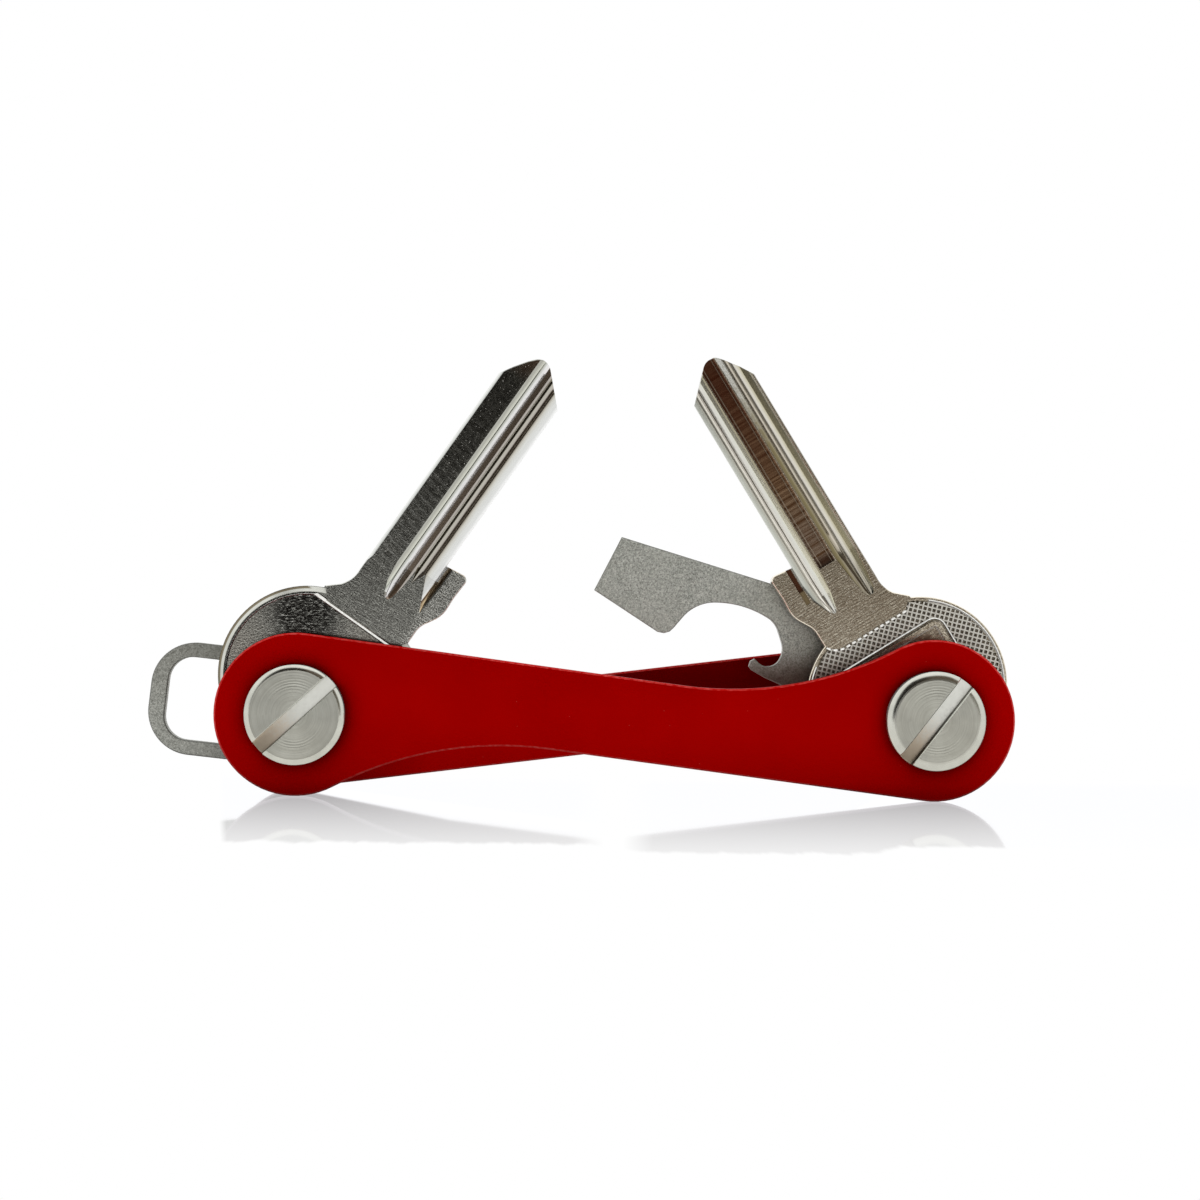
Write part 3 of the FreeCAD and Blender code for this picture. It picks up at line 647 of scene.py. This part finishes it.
        # painted shade: the outer band of the rim is darkened
        base = self.base.paint(face_a * inset.ramp(span=(0.36, 0.28)),
                               tint=(0.20, 0.17, 0.115))
        pad = face_a * inset.ramp(span=(1.02, 1.10))
        x, _, z = self.point.parts()
        marks = self.comb(x * 1.5, 6.0, z * 5.0).noise(detail=4.0, rough=0.8)
        distance = self.vec("DISTANCE", self.comb(along, across, 0.0), (6.2, -6.6, 0.0))
        near_dark_corner = distance.ramp(span=(6.4, 2.4), smooth=True)
        # painted dark reflection near one corner, crossed by bright scratches
        base = base.paint(pad * (near_dark_corner * marks.ramp(span=(0.42, 0.50))),
                          tint=(0.022, 0.019, 0.017))
        scratch = near_dark_corner * marks.ramp(span=(0.37, 0.33))
        base = base.paint(pad * scratch, tint=(0.95, 0.94, 0.90))
        self.rough = self.rough.fade(pad * scratch, to=0.55)
        self.base = base.paint(pad * distance.ramp(span=(3.5, 9.0), to=(0.0, 0.35)),
                               tint=(0.40, 0.33, 0.27))

    def panel(self):
        """Face B of the bow: a brown panel with a pale line, a painted highlight, inside its
        border.
        """
        beyond = [abs(place - (low + high) / 2) - (high - low) / 2
                  for place, (low, high) in ((self.along, PANEL_ALONG),
                                             (self.across, PANEL_ACROSS))]
        into = self.math("MAXIMUM", *beyond) * -1.0
        on_panel = (self.bow * self.side_b) * into.ramp(span=(-0.02, 0.03))
        # painted highlight: a pale line along the step inside the panel's border
        line = on_panel * abs(into - 0.66).ramp(span=(0.10, 0.05))
        inner = on_panel * into.ramp(span=(0.70, 0.76))
        base = self.base.paint(inner * self.blot.ramp(span=(0.40, 0.62), to=(0.30, 0.85)),
                               tint=(0.20, 0.13, 0.09))
        self.base = base.paint(line * 0.85, tint=(0.90, 0.86, 0.78))
        self.rough = self.rough.fade(line, to=0.55)

    def normal(self, key):
        """The cutters left a second, shallower facet on a groove wall of each face."""
        frac = self.frac
        lean_a = (frac.window((0.630, 0.638), (0.680, 0.672))
                  * ((1.0 - self.side_b) * (self.groove * 0.95)))
        lean_b = frac.window((0.232, 0.242), (0.312, 0.300)) * (self.side_b * 1.0)
        lean_b = lean_b * (self.groove * self.along.ramp(span=(18.0, 22.0)))
        outward = self.vec("SCALE", (0.0, 1.0 if self.right else -1.0, 0.0), scale=lean_a)
        sideways = self.vec("SCALE", key_axes(key)[1], scale=lean_b)
        normal = self.bump(self.height, depth=0.012, strength=0.8, radius=0.05)
        return self.tilt(normal, self.vec("ADD", outward, sideways))


def knurl_nickel():
    """Lands of the coined grid."""
    mat = Surface("nickel_knurl")
    point = mat.point_mm()
    grain = point.noise(scale=5.0, rough=0.6)
    base = mat.mix(grain.ramp(span=(0.3, 0.7)), low=(0.80, 0.78, 0.70),
                   high=(0.97, 0.95, 0.88))
    return mat.principled(Base_Color=base, Metallic=1.0,
                          Roughness=grain.ramp(span=(0.3, 0.7), to=(0.34, 0.50)),
                          Normal=mat.bump(point.noise(scale=12.0), depth=0.010,
                                          strength=0.8))


def knurl_pit():
    """Dirt and shade down in the coined pits."""
    mat = Surface("nickel_pit")
    grain = mat.point_mm().noise(scale=2.2, rough=0.6)
    base = mat.mix(grain.ramp(span=(0.3, 0.7)), low=(0.13, 0.11, 0.085),
                   high=(0.36, 0.32, 0.25))
    return mat.principled(Base_Color=base, Metallic=1.0, Roughness=0.35)


def bead_nickel():
    """Rubbed bright rim of the pad."""
    mat = Surface("nickel_bead")
    point = mat.point_mm()
    broad = point.noise(scale=2.6, detail=3.0, rough=0.6)
    fine = point.noise(scale=9.0, rough=0.6)
    base = mat.mix(broad.ramp(span=(0.35, 0.65)), low=(0.70, 0.69, 0.65),
                   high=(0.92, 0.91, 0.87))
    base = base.paint(fine.ramp(span=(0.55, 0.7), to=(0.0, 0.5)), tint=(0.30, 0.27, 0.22))
    return mat.principled(Base_Color=base, Metallic=1.0,
                          Roughness=broad.ramp(span=(0.3, 0.7), to=(0.16, 0.30)),
                          Normal=mat.bump(fine, depth=0.008, strength=0.8))


# ---------------------------------------------------------------- tools and small parts
def blasted_steel(name, tone, shaded_hook=False):
    """Bead-blasted steel; tone below 1 darkens it; shaded_hook browns its lower part as painted
    shade, and otherwise the top is darkened as painted shade.
    """
    mat = Surface(name)
    point = mat.point_mm()
    coarse = point.noise(scale=4.4, rough=0.7)
    fine = point.noise(scale=9.0, rough=0.6)
    cloud = point.noise(scale=0.12)
    grain = coarse * 0.55 + fine * 0.45
    edge = mat.facing_y().window((0.2, 0.4), (0.98, 0.9))
    base = mat.mix(grain.ramp(span=(0.38, 0.62)), low=(0.25, 0.255, 0.225),
                   high=(0.80, 0.81, 0.745))
    base = base.paint(cloud.ramp(span=(0.3, 0.7), to=(0.0, 0.30)), tint=(0.55, 0.55, 0.49))
    base = base.paint(edge * 0.6, tint=(0.12, 0.12, 0.11))
    # painted shade: darker where other parts stand within 9 mm
    base = base.paint(mat.crevice_shade(reach=9.0, span=(0.25, 0.80), most=0.75),
                      tint=(0.03, 0.022, 0.018))
    z = point.parts()[2]
    if shaded_hook:
        # painted shade: the lower part is browned where it lies in shadow behind the key
        low = z.ramp(span=(19.0, 14.6), to=(0.0, 0.62), smooth=True)
        base = base.paint(low * cloud.ramp(span=(0.3, 0.6), to=(0.75, 1.0)),
                          tint=(0.10, 0.045, 0.025))
    else:
        # painted shade: darker towards the top
        base = base.paint(z.ramp(span=(11.0, 18.0), to=(0.0, 0.30)), tint=(0.13, 0.12, 0.09))
    base = base.paint(1.0 - tone, tint=(0.0, 0.0, 0.0))
    return mat.principled(Base_Color=base, Metallic=0.75, Specular_IOR_Level=0.3,
                          Roughness=coarse.ramp(span=(0.3, 0.7), to=(0.46, 0.64)),
                          Normal=mat.bump(grain, depth=0.045, radius=0.06))


def nylon():
    mat = Surface("black_nylon")
    grain = mat.point_mm().noise(scale=7.0, rough=0.6)
    base = mat.mix(grain.ramp(span=(0.3, 0.7)), low=(0.012, 0.012, 0.013),
                   high=(0.028, 0.028, 0.030))
    return mat.principled(Base_Color=base, Specular_IOR_Level=0.45,
                          Roughness=grain.ramp(span=(0.3, 0.7), to=(0.38, 0.52)),
                          Normal=mat.bump(grain, depth=0.008, strength=0.6, radius=0.05))


def spacer_metal():
    """Turned aluminium, its tool marks ringed about Y."""
    mat = Surface("turned_aluminium")
    point = mat.point_mm()
    y = point.parts()[1]
    lines = mat.comb(0.0, y * 22.0, 0.0).noise(detail=3.0, rough=0.7)
    stain = point.noise(scale=1.2, detail=3.0, rough=0.6)
    base = mat.mix(stain.ramp(span=(0.3, 0.7)), low=(0.55, 0.55, 0.56),
                   high=(0.68, 0.68, 0.69))
    return mat.principled(Base_Color=base, Metallic=1.0,
                          Roughness=lines.ramp(span=(0.3, 0.7), to=(0.26, 0.42)),
                          Normal=mat.bump(lines, depth=0.008, strength=0.7, radius=0.05))


# ---------------------------------------------------------------- giving out materials
RED = red_anodised("red_anodised_front")
RED_BACK = red_anodised("red_anodised_back", back=True)
OPENER_STEEL = blasted_steel("bead_blasted_opener", tone=0.92, shaded_hook=True)
LOOP_STEEL = blasted_steel("bead_blasted_loop", tone=0.80)
NYLON = nylon()
SPACER = spacer_metal()
KNURL = knurl_nickel()
PIT = knurl_pit()
BEAD = bead_nickel()
# piece: end of its material's name, pivot it sits on, slot direction in degrees
HEADS = {
    piece: turned_steel("turned_steel_" + place, centre=pivot, slot_angle=angle)
    for piece, place, pivot, angle in (
        ("left_post_barrel", "front_left", LEFT_PIVOT, 42.8),
        ("right_screw", "front_right", RIGHT_PIVOT, 52.3),
        ("left_screw", "back_left", LEFT_PIVOT, 18.0),
        ("right_post_barrel", "back_right", RIGHT_PIVOT, -34.0),
    )
}


def material_for(name):
    if name.endswith("_plate"):
        return RED_BACK if name.startswith("back") else RED
    if name in HEADS:
        return HEADS[name]
    if name in KEY:
        return KeyNickel(name).material
    if name == "bottle_opener":
        return OPENER_STEEL
    if name == "key_loop":
        return LOOP_STEEL
    return NYLON if "washer" in name else SPACER


def give(piece, material):
    piece.data.materials.clear()
    piece.data.materials.append(material)


for name, piece in NODES.items():
    give(piece, material_for(name))


# ---------------------------------------------------------------- outlines on the keys
def arc(centre, radius, start, end, steps):
    angles = [start + (end - start) * i / steps for i in range(steps + 1)]
    return [(centre[0] + radius * math.cos(angle), centre[1] + radius * math.sin(angle))
            for angle in angles]


# The tight arc touches one main arc at TIGHT_START and the other at the closing angle.
TOUCH = (TIGHT_START / BOW_R, math.sqrt(1 - (TIGHT_START / BOW_R) ** 2))
TIGHT_CENTRE = (TIGHT_START - TIGHT_R * TOUCH[0],
                BOW_SHIFT + BOW_R * TOUCH[1] - TIGHT_R * TOUCH[1])
TOUCH_ANGLE = math.atan2(TOUCH[1], TOUCH[0])
CLOSING_ANGLE = (math.atan2(TIGHT_CENTRE[1] + BOW_SHIFT, TIGHT_CENTRE[0])
                 + math.acos((TIGHT_R - BOW_R)
                             / math.hypot(TIGHT_CENTRE[0], TIGHT_CENTRE[1] + BOW_SHIFT)))


def bow_outline(inset, chord=None):
    """The bow's outline moved in, and cut off straight at chord where one is given."""
    radius = BOW_R - inset
    cut = math.acos(chord / radius) if chord else 0.0
    long_steps, short_steps = (64, 12) if chord else (60, 16)
    return (arc((0, -BOW_SHIFT), radius, CLOSING_ANGLE, 2 * math.pi - cut, long_steps)
            + arc((0, BOW_SHIFT), radius, cut, TOUCH_ANGLE, short_steps)
            + arc(TIGHT_CENTRE, TIGHT_R - inset, TOUCH_ANGLE, CLOSING_ANGLE, 40))


def panel_outline(margin):
    """The panel's rounded outline, margin outside its groove, from its low-along side."""
    grown = MOAT_W + margin
    low_along, high_along = PANEL_ALONG[0] - grown, PANEL_ALONG[1] + grown
    low_across, high_across = PANEL_ACROSS[0] - grown, PANEL_ACROSS[1] + grown
    radius = PANEL_CORNER_R + MOAT_W + margin
    quarter, steps = math.pi / 2, 6
    corners = ((low_along + radius, low_across + radius),
               (high_along - radius, low_across + radius),
               (high_along - radius, high_across - radius),
               (low_along + radius, high_across - radius))
    return [spot for turn, corner in enumerate(corners, start=-2)
            for spot in arc(corner, radius, turn * quarter, (turn + 1) * quarter, steps)]


def inside(outline, spot):
    within = False
    for i in range(len(outline)):
        (x0, y0), (x1, y1) = outline[i - 1], outline[i]
        if ((y0 > spot[1]) != (y1 > spot[1])
                and spot[0] < (x1 - x0) * (spot[1] - y0) / (y1 - y0) + x0):
            within = not within
    return within


def nearest(outline, spot):
    """The outline's point nearest to spot."""
    best, found = 1e9, spot
    for i in range(len(outline)):
        (x0, y0), (x1, y1) = outline[i - 1], outline[i]
        run, rise = x1 - x0, y1 - y0
        share = (((spot[0] - x0) * run + (spot[1] - y0) * rise)
                 / max(run * run + rise * rise, 1e-12))
        share = max(0.0, min(1.0, share))
        candidate = (x0 + share * run, y0 + share * rise)
        distance = math.hypot(candidate[0] - spot[0], candidate[1] - spot[1])
        if distance < best:
            best, found = distance, candidate
    return found


# The plain land by the neck (along, across): the chord, a rounded corner and two sides.
LAND_CORNER = 3.8            # where the rounded corner starts, across
LAND = ([(16.0, -7.0), (10.9, -7.0), (CHORD, -5.22), (CHORD, LAND_CORNER)]
        + [(CHORD + 0.055 + 1.9 - 1.9 * math.cos(angle), LAND_CORNER + 2.03 * math.sin(angle))
           for angle in (0.35, 0.7, 1.05, 1.4)]
        + [(10.75, 5.86), (16.0, 5.9)])
LAND_OUT = [(x - 0.03 if x < 10.5 else x, y) for x, y in LAND]
FIELD_INSET = 0.60
FIELD_EDGE = bow_outline(FIELD_INSET)
KEEP_OUT = panel_outline(margin=0.16)


def in_field(spot):
    return (inside(FIELD_EDGE, spot) and not inside(LAND_OUT, spot)
            and not inside(KEEP_OUT, spot))


def clamp(spot):
    """Moves a spot outside the knurled field to the field's edge."""
    if not inside(FIELD_EDGE, spot):
        spot = nearest(FIELD_EDGE, spot)
    if inside(LAND_OUT, spot):
        spot = nearest(LAND_OUT, spot)
    if inside(KEEP_OUT, spot):
        spot = nearest(KEEP_OUT, spot)
    return spot


# ---------------------------------------------------------------- meshes on the keys
class Skin:
    """Collects closed shells in key coordinates (along, across, depth below a face)."""

    def __init__(self, key, face_a=False):
        self.key = key
        self.along, self.across = (Vector(axis) for axis in key_axes(key))
        self.out = (-1.0 if KEY[key]["side"] > 0 else 1.0) * (-1.0 if face_a else 1.0)
        self.y = key_mid_y(key) + self.out * KEY_THICK / 2 * MM
        self.verts, self.faces, self.slots = [], [], []

    def at(self, along, across, depth):
        hole = KEY[self.key]["hole"]
        place = (KEY[self.key]["pivot"] + self.along * ((along - hole[0]) * MM)
                 + self.across * ((across - hole[1]) * MM))
        self.verts.append((place.x, self.y - self.out * depth * MM, place.z))
        return len(self.verts) - 1

    def face(self, ids, slot=0):
        self.faces.append(ids)
        self.slots.append(slot)

    def prism(self, base, top_depths, floor, slot=0):
        """A closed block over the spots of base; top_depths gives each corner's depth."""
        top = [self.at(*spot, depth) for spot, depth in zip(base, top_depths)]
        bottom = [self.at(*spot, floor) for spot in base]
        self.face(top, slot)
        self.face(bottom[::-1], slot)
        for i in range(len(base)):
            j = (i + 1) % len(base)
            self.face([top[j], top[i], bottom[i], bottom[j]], slot)

    def bead(self, lines, floor, depths, closed=False, slot=0):
        """A ridge between three lines of spots, standing on floor.

        depths gives the three lines' depths for each spot along them."""
        rings = []
        for (first, crest, last), (first_d, crest_d, last_d) in zip(zip(*lines), depths):
            section = ((first, floor), (first, first_d), (crest, crest_d), (last, last_d),
                       (last, floor))
            rings.append([self.at(*spot, depth) for spot, depth in section])
        pairs = list(zip(rings, rings[1:])) + ([(rings[-1], rings[0])] if closed else [])
        for ring, following in pairs:
            for i in range(len(ring)):
                j = (i + 1) % len(ring)
                self.face((ring[i], ring[j], following[j], following[i]), slot)
        if not closed:
            self.face(tuple(rings[0]), slot)
            self.face(tuple(rings[-1][::-1]), slot)

    def build(self, name, materials):
        """Makes the object, which swings with its key and shares its slot."""
        mesh = bpy.data.meshes.new(name)
        mesh.from_pydata(self.verts, [], self.faces)
        mesh.polygons.foreach_set("material_index", self.slots)
        for material in materials:
            mesh.materials.append(material)
        shell = bmesh.new()
        shell.from_mesh(mesh)
        bmesh.ops.recalc_face_normals(shell, faces=shell.faces)
        shell.to_mesh(mesh)
        shell.free()
        made = bpy.data.objects.new(name, mesh)
        bpy.context.scene.collection.objects.link(made)
        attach(made, self.key)


# Coined grid of square pits at 45 degrees to the key
PITCH = 0.578
GRID_REACH = 18              # half the width of the grid that is tried
HOLE_CLEAR = 0.75            # from the hole's rim to the nearest cell's middle
TOP_DEPTH, PIT_DEPTH = 0.035, 0.195
BASE_DEPTH = FIELD_STEP + 0.03
RIM_SHARE, PIT_SHARE = 0.17, 0.36   # inset of the pit's mouth and floor, in cells
KNURL_SLOT, PIT_SLOT, BEAD_SLOT = 0, 1, 2
SIDES = ((1, 0), (-1, 0), (0, 1), (0, -1))


def grid_spot(i, j):
    half = math.sqrt(0.5)
    return ((i + j) * PITCH * half, (i - j) * PITCH * half)


def cell(i, j, inset=0):
    """Grid places of a cell's corners, moved in by a share of the cell."""
    far = 1 - inset
    return [(i + inset, j + inset), (i + far, j + inset), (i + far, j + far),
            (i + inset, j + far)]


def field_cells(hole):
    """The cells that fill the field clear of the hole, without stray or pinched ones."""
    reach = int(GRID_REACH / PITCH)
    keep = set()
    for i in range(-reach, reach):
        for j in range(-reach, reach):
            mid = grid_spot(i + 0.5, j + 0.5)
            if math.hypot(mid[0] - hole[0], mid[1] - hole[1]) < HOLE_R + HOLE_CLEAR:
                continue
            corners = [grid_spot(*corner) for corner in cell(i, j)]
            if in_field(mid) or sum(in_field(corner) for corner in corners) >= 2:
                keep.add((i, j))
    changed = True
    while changed:
        changed = False
        for i, j in sorted(keep):
            neighbours = sum((i + a, j + b) in keep for a, b in SIDES)
            # cells that touch only at a corner
            pinched = any((i + 1, j + b) in keep and (i + 1, j) not in keep
                          and (i, j + b) not in keep for b in (1, -1))
            if neighbours < 2 or pinched:
                keep.discard((i, j))
                changed = True
    return keep


def coined_grid(skin, keep):
    top, bottom = {}, {}

    def shared(table, place, depth):
        if place not in table:
            table[place] = skin.at(*clamp(grid_spot(*place)), depth)
        return table[place]

    def corners(i, j, inset, depth):
        return [skin.at(*clamp(grid_spot(*place)), depth) for place in cell(i, j, inset)]

    for i, j in sorted(keep):
        upper = [shared(top, place, TOP_DEPTH) for place in cell(i, j)]
        lower = [shared(bottom, place, BASE_DEPTH) for place in cell(i, j)]
        rim = corners(i, j, RIM_SHARE, TOP_DEPTH)
        pit = corners(i, j, PIT_SHARE, PIT_DEPTH)
        for a in range(4):
            b = (a + 1) % 4
            skin.face((upper[a], upper[b], rim[b], rim[a]), KNURL_SLOT)
            skin.face((rim[a], rim[b], pit[b], pit[a]), PIT_SLOT)
        skin.face(tuple(pit), PIT_SLOT)
        skin.face(tuple(lower[::-1]), PIT_SLOT)
        # walls where the grid ends
        for a, (di, dj) in enumerate(((0, -1), (1, 0), (0, 1), (-1, 0))):
            b = (a + 1) % 4
            if (i + di, j + dj) not in keep:
                skin.face((upper[b], upper[a], lower[a], lower[b]), KNURL_SLOT)


def land_teeth(skin):
    """Small teeth where the coining ran into the land: bright facets with dark gaps."""
    edge = LAND_OUT[2:-2]
    runs = [0.0]
    for start, end in zip(edge, edge[1:]):
        runs.append(runs[-1] + math.dist(start, end))

    def edge_point(distance):
        """The spot at a distance along the edge, and the unit normal towards the field."""
        i = next((i for i in range(len(edge) - 1) if distance <= runs[i + 1]),
                 len(edge) - 2)
        length = runs[i + 1] - runs[i]
        share = (distance - runs[i]) / length
        (x0, y0), (x1, y1) = edge[i], edge[i + 1]
        normal = (-(y1 - y0) / length, (x1 - x0) / length)
        if normal[0] > 0:
            normal = (-normal[0], -normal[1])
        return (x0 + (x1 - x0) * share, y0 + (y1 - y0) * share), normal

    step = PITCH * math.sqrt(2)
    first, share, width = 0.1, 0.58, 0.28    # first tooth's start, tooth per step, width
    for i in range(int(runs[-1] / step)):
        start = i * step + first
        (spot0, normal0), (spot1, normal1) = edge_point(start), edge_point(start + step * share)
        outer = [(spot[0] + normal[0] * width, spot[1] + normal[1] * width)
                 for spot, normal in ((spot1, normal1), (spot0, normal0))]
        skin.prism([spot0, spot1, *outer], top_depths=[0.05, 0.05, -0.15, -0.15],
                   floor=BASE_DEPTH, slot=BEAD_SLOT)


def panel_lip(skin):
    """A thin raised lip round the panel's groove, open where the post passes."""
    lines = [panel_outline(margin) for margin in (0.01, 0.07, 0.24)]
    skin.bead(lines, floor=BASE_DEPTH, depths=[(0.05, -0.045, 0.07)] * len(lines[0]),
              slot=BEAD_SLOT)


def rim_bead(skin):
    """The bright inner corner of the rim, where the knurl meets it, left off at the neck."""
    lines = [bow_outline(inset) for inset in (0.30, 0.42, FIELD_INSET)]
    near_neck = [spot[0] > CHORD - 0.35 for spot in lines[1]]
    count = len(near_neck)
    first = next(i for i in range(count) if near_neck[i - 1] and not near_neck[i])
    run = []
    for i in range(count):
        j = (first + i) % count
        if near_neck[j]:
            break
        run.append(j)
    lines = [[line[j] for j in run] for line in lines]
    skin.bead(lines, floor=0.25, depths=[(0.0, -0.075, 0.10)] * len(run), slot=BEAD_SLOT)


def knurl(key):
    """The knurled field on face B, with the raised edges round it."""
    skin = Skin(key)
    coined_grid(skin, field_cells(KEY[key]["hole"]))
    land_teeth(skin)
    panel_lip(skin)
    rim_bead(skin)
    skin.build("knurl_" + key, [KNURL, PIT, BEAD])


def pad_bead(key):
    """Rolled bead round the pad on face A: along the rim and across the chord."""
    skin = Skin(key, face_a=True)
    lines = [bow_outline(inset, chord=CHORD - back)
             for inset, back in ((0.82, 0.02), (0.97, 0.37), (1.12, 0.50))]
    hole = KEY[key]["hole"]
    washer_reach = 6.2       # the bead is low where the washers lie
    depths = []
    for crest in lines[1]:
        under = math.hypot(crest[0] - hole[0], crest[1] - hole[1]) < washer_reach
        depths.append((0.13, 0.015 if under else -0.13, 0.02))
    skin.bead(lines, floor=0.32, depths=depths, closed=True)
    skin.build("bead_" + key, [BEAD])


for key in KEY:
    knurl(key)
    pad_bead(key)


# ---------------------------------------------------------------- floor
def sheen_amount(mat):
    """How much the table mirrors, as seen by the camera from in front of the object."""
    x, y, _ = mat.point_mm().parts()
    sheen = y.ramp(span=(-60.0, -8.0), to=(0.17, 0.62))
    # it ends on a ragged line in front of the object
    ragged = mat.comb(x * 0.30, 0.0, 2.0).noise(detail=3.0, rough=0.6)
    end = y + (ragged - 0.5) * 9.0
    end = end + x.ramp(span=(0.0, 5.0), to=(-3.0, 3.5))
    end = end + x.ramp(span=(26.0, 31.0), to=(0.0, -6.5))
    sheen = sheen * end.ramp(span=(-60.5, -57.0), smooth=True)
    # seen from low down it stops beside the left lobe and is broken in the middle;
    # side is the slope, left to right, of the sight line through the point
    side = x + (-2.38 - y * 0.0316)
    side = side / (y + 250.0)
    part = side.ramp(span=(-0.1885, -0.1850)) * abs(side - 0.0095).ramp(span=(0.005, 0.020))
    level = mat.source("NewGeometry", "Incoming").parts()[2].ramp(span=(0.165, 0.140))
    sheen = sheen * mat.blend(level, low=1.0, high=part)
    # it is there only for someone in front
    towards = mat.source("NewGeometry", "Incoming").parts()[1]
    sheen = sheen * towards.ramp(span=(0.0, -0.3))
    sheen = sheen * y.ramp(span=(25.0, 12.0))
    return sheen * mat.source("LightPath", "Is Camera Ray")


def floor_white():
    """White glass that glows a little, as a lit table does."""
    mat = Surface("floor_white")
    strength = mat.blend(mat.source("LightPath", "Is Camera Ray"), low=FLOOR_GLOW, high=1.0)
    glow = mat.node("Emission", {"Color": (1.0, 1.0, 1.0), "Strength": strength})
    gloss = mat.node("BsdfGlossy", {"Color": (0.97, 0.97, 1.0), "Roughness": 0.045})
    return mat.finish(mat.node("MixShader", {0: sheen_amount(mat), 1: glow, 2: gloss}))


def make_floor():
    """The table top, which ends in front of the object; sizes in metres."""
    half_width, front, back, drop = 2.5, -0.42, 3.0, 0.00002
    mesh = bpy.data.meshes.new("floor")
    mesh.from_pydata([(-half_width, front, 0), (half_width, front, 0),
                      (half_width, back, 0), (-half_width, back, 0)], [], [(0, 1, 2, 3)])
    floor = bpy.data.objects.new("floor", mesh)
    bpy.context.scene.collection.objects.link(floor)
    floor.location.z = -drop
    give(floor, floor_white())


make_floor()


# ---------------------------------------------------------------- light
def make_world():
    """A white tent with a dark room behind the camera, lighter low down and to the right."""
    world = bpy.data.worlds.new("studio")
    bpy.context.scene.world = world
    world.use_nodes = True
    tree = Tree(world.node_tree)
    x, y, z = tree.vec("NORMALIZE", tree.source("TexCoord", "Generated")).parts()
    # angles in radians: azimuth is 0 towards the camera and grows to the right
    azimuth = tree.math("ARCTAN2", x, y * -1.0)
    elevation = tree.math("ARCSINE", z)
    room = (abs(azimuth - 0.05).ramp(span=(0.60, 0.85), to=(1.0, 0.0), smooth=True)
            * elevation.ramp(span=(0.80, 1.05), to=(1.0, 0.0), smooth=True))
    left = elevation.ramp(span=(-0.03, 0.07), to=(0.13, 0.016), smooth=True)
    right = elevation.ramp(span=(-0.03, 0.20), to=(0.26, 0.15), smooth=True)
    to_right = azimuth.ramp(span=(0.02, 0.12), smooth=True)
    room_level = left.fade(to_right, to=right)
    room_colour = tree.mix(to_right, low=(1.0, 0.99, 0.95), high=(1.0, 0.92, 0.76))
    room_colour = tree.mix(elevation.ramp(span=(0.20, 0.45)), low=room_colour,
                           high=(1.0, 0.78, 0.60))
    room_light = tree.vec("SCALE", room_colour, scale=room_level)
    tent_level = elevation.ramp(span=(0.2, 1.2), to=(TENT_SIDE, TENT_TOP))
    tent_colour = tree.mix(0.0, low=(0.99, 0.995, 1.0), high=(1.0, 1.0, 1.0))
    tent_light = tree.vec("SCALE", tent_colour, scale=tent_level)
    around = tree.mix(room, low=tent_light, high=room_light)

    # the camera itself sees plain white
    lighting = tree.node("Background", {"Color": around, "Strength": 1.0})
    white = tree.node("Background", {"Color": (1.0, 1.0, 1.0), "Strength": 1.0})
    is_camera = tree.source("LightPath", "Is Camera Ray")
    shader = tree.node("MixShader", {0: is_camera, 1: lighting, 2: white})
    tree.put(tree.nodes.new("ShaderNodeOutputWorld").inputs[0], shader)


make_world()

# ---------------------------------------------------------------- camera
# The camera looks at a point in the plane of the front plate's face; lengths in metres.
CAMERA_DISTANCE = 0.250
AIM_X, AIM_Z = -0.00221, 0.01431     # from midway between the pivots, and from their height
YAW, PITCH_DOWN, ROLL = (math.radians(angle) for angle in (1.81, -0.30, 0.69))
SENSOR_MM, LENS_MM = 36.0, 61.5825


def make_camera():
    forward = Vector((math.sin(YAW) * math.cos(PITCH_DOWN),
                      math.cos(YAW) * math.cos(PITCH_DOWN), -math.sin(PITCH_DOWN)))
    level_right = Vector((math.cos(YAW), -math.sin(YAW), 0.0))
    level_up = level_right.cross(forward)
    right = level_right * math.cos(ROLL) + level_up * math.sin(ROLL)
    up = level_up * math.cos(ROLL) - level_right * math.sin(ROLL)
    data = bpy.data.cameras.new("camera")
    camera = bpy.data.objects.new("camera", data)
    bpy.context.scene.collection.objects.link(camera)
    aim = Vector(((LEFT_PIVOT.x + RIGHT_PIVOT.x) / 2 + AIM_X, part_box("front_plate")[0].y,
                  LEFT_PIVOT.z + AIM_Z))
    rotation = Matrix((right, up, -forward)).transposed().to_4x4()
    camera.matrix_world = Matrix.Translation(aim - forward * CAMERA_DISTANCE) @ rotation
    data.sensor_fit = "HORIZONTAL"
    data.sensor_width = SENSOR_MM
    data.lens = LENS_MM
    data.clip_start = 0.005
    data.clip_end = 20.0
    bpy.context.scene.camera = camera


make_camera()

view = bpy.context.scene.view_settings
view.view_transform = "Standard"
view.look = "None"
view.exposure = 0.0
view.gamma = 1.0
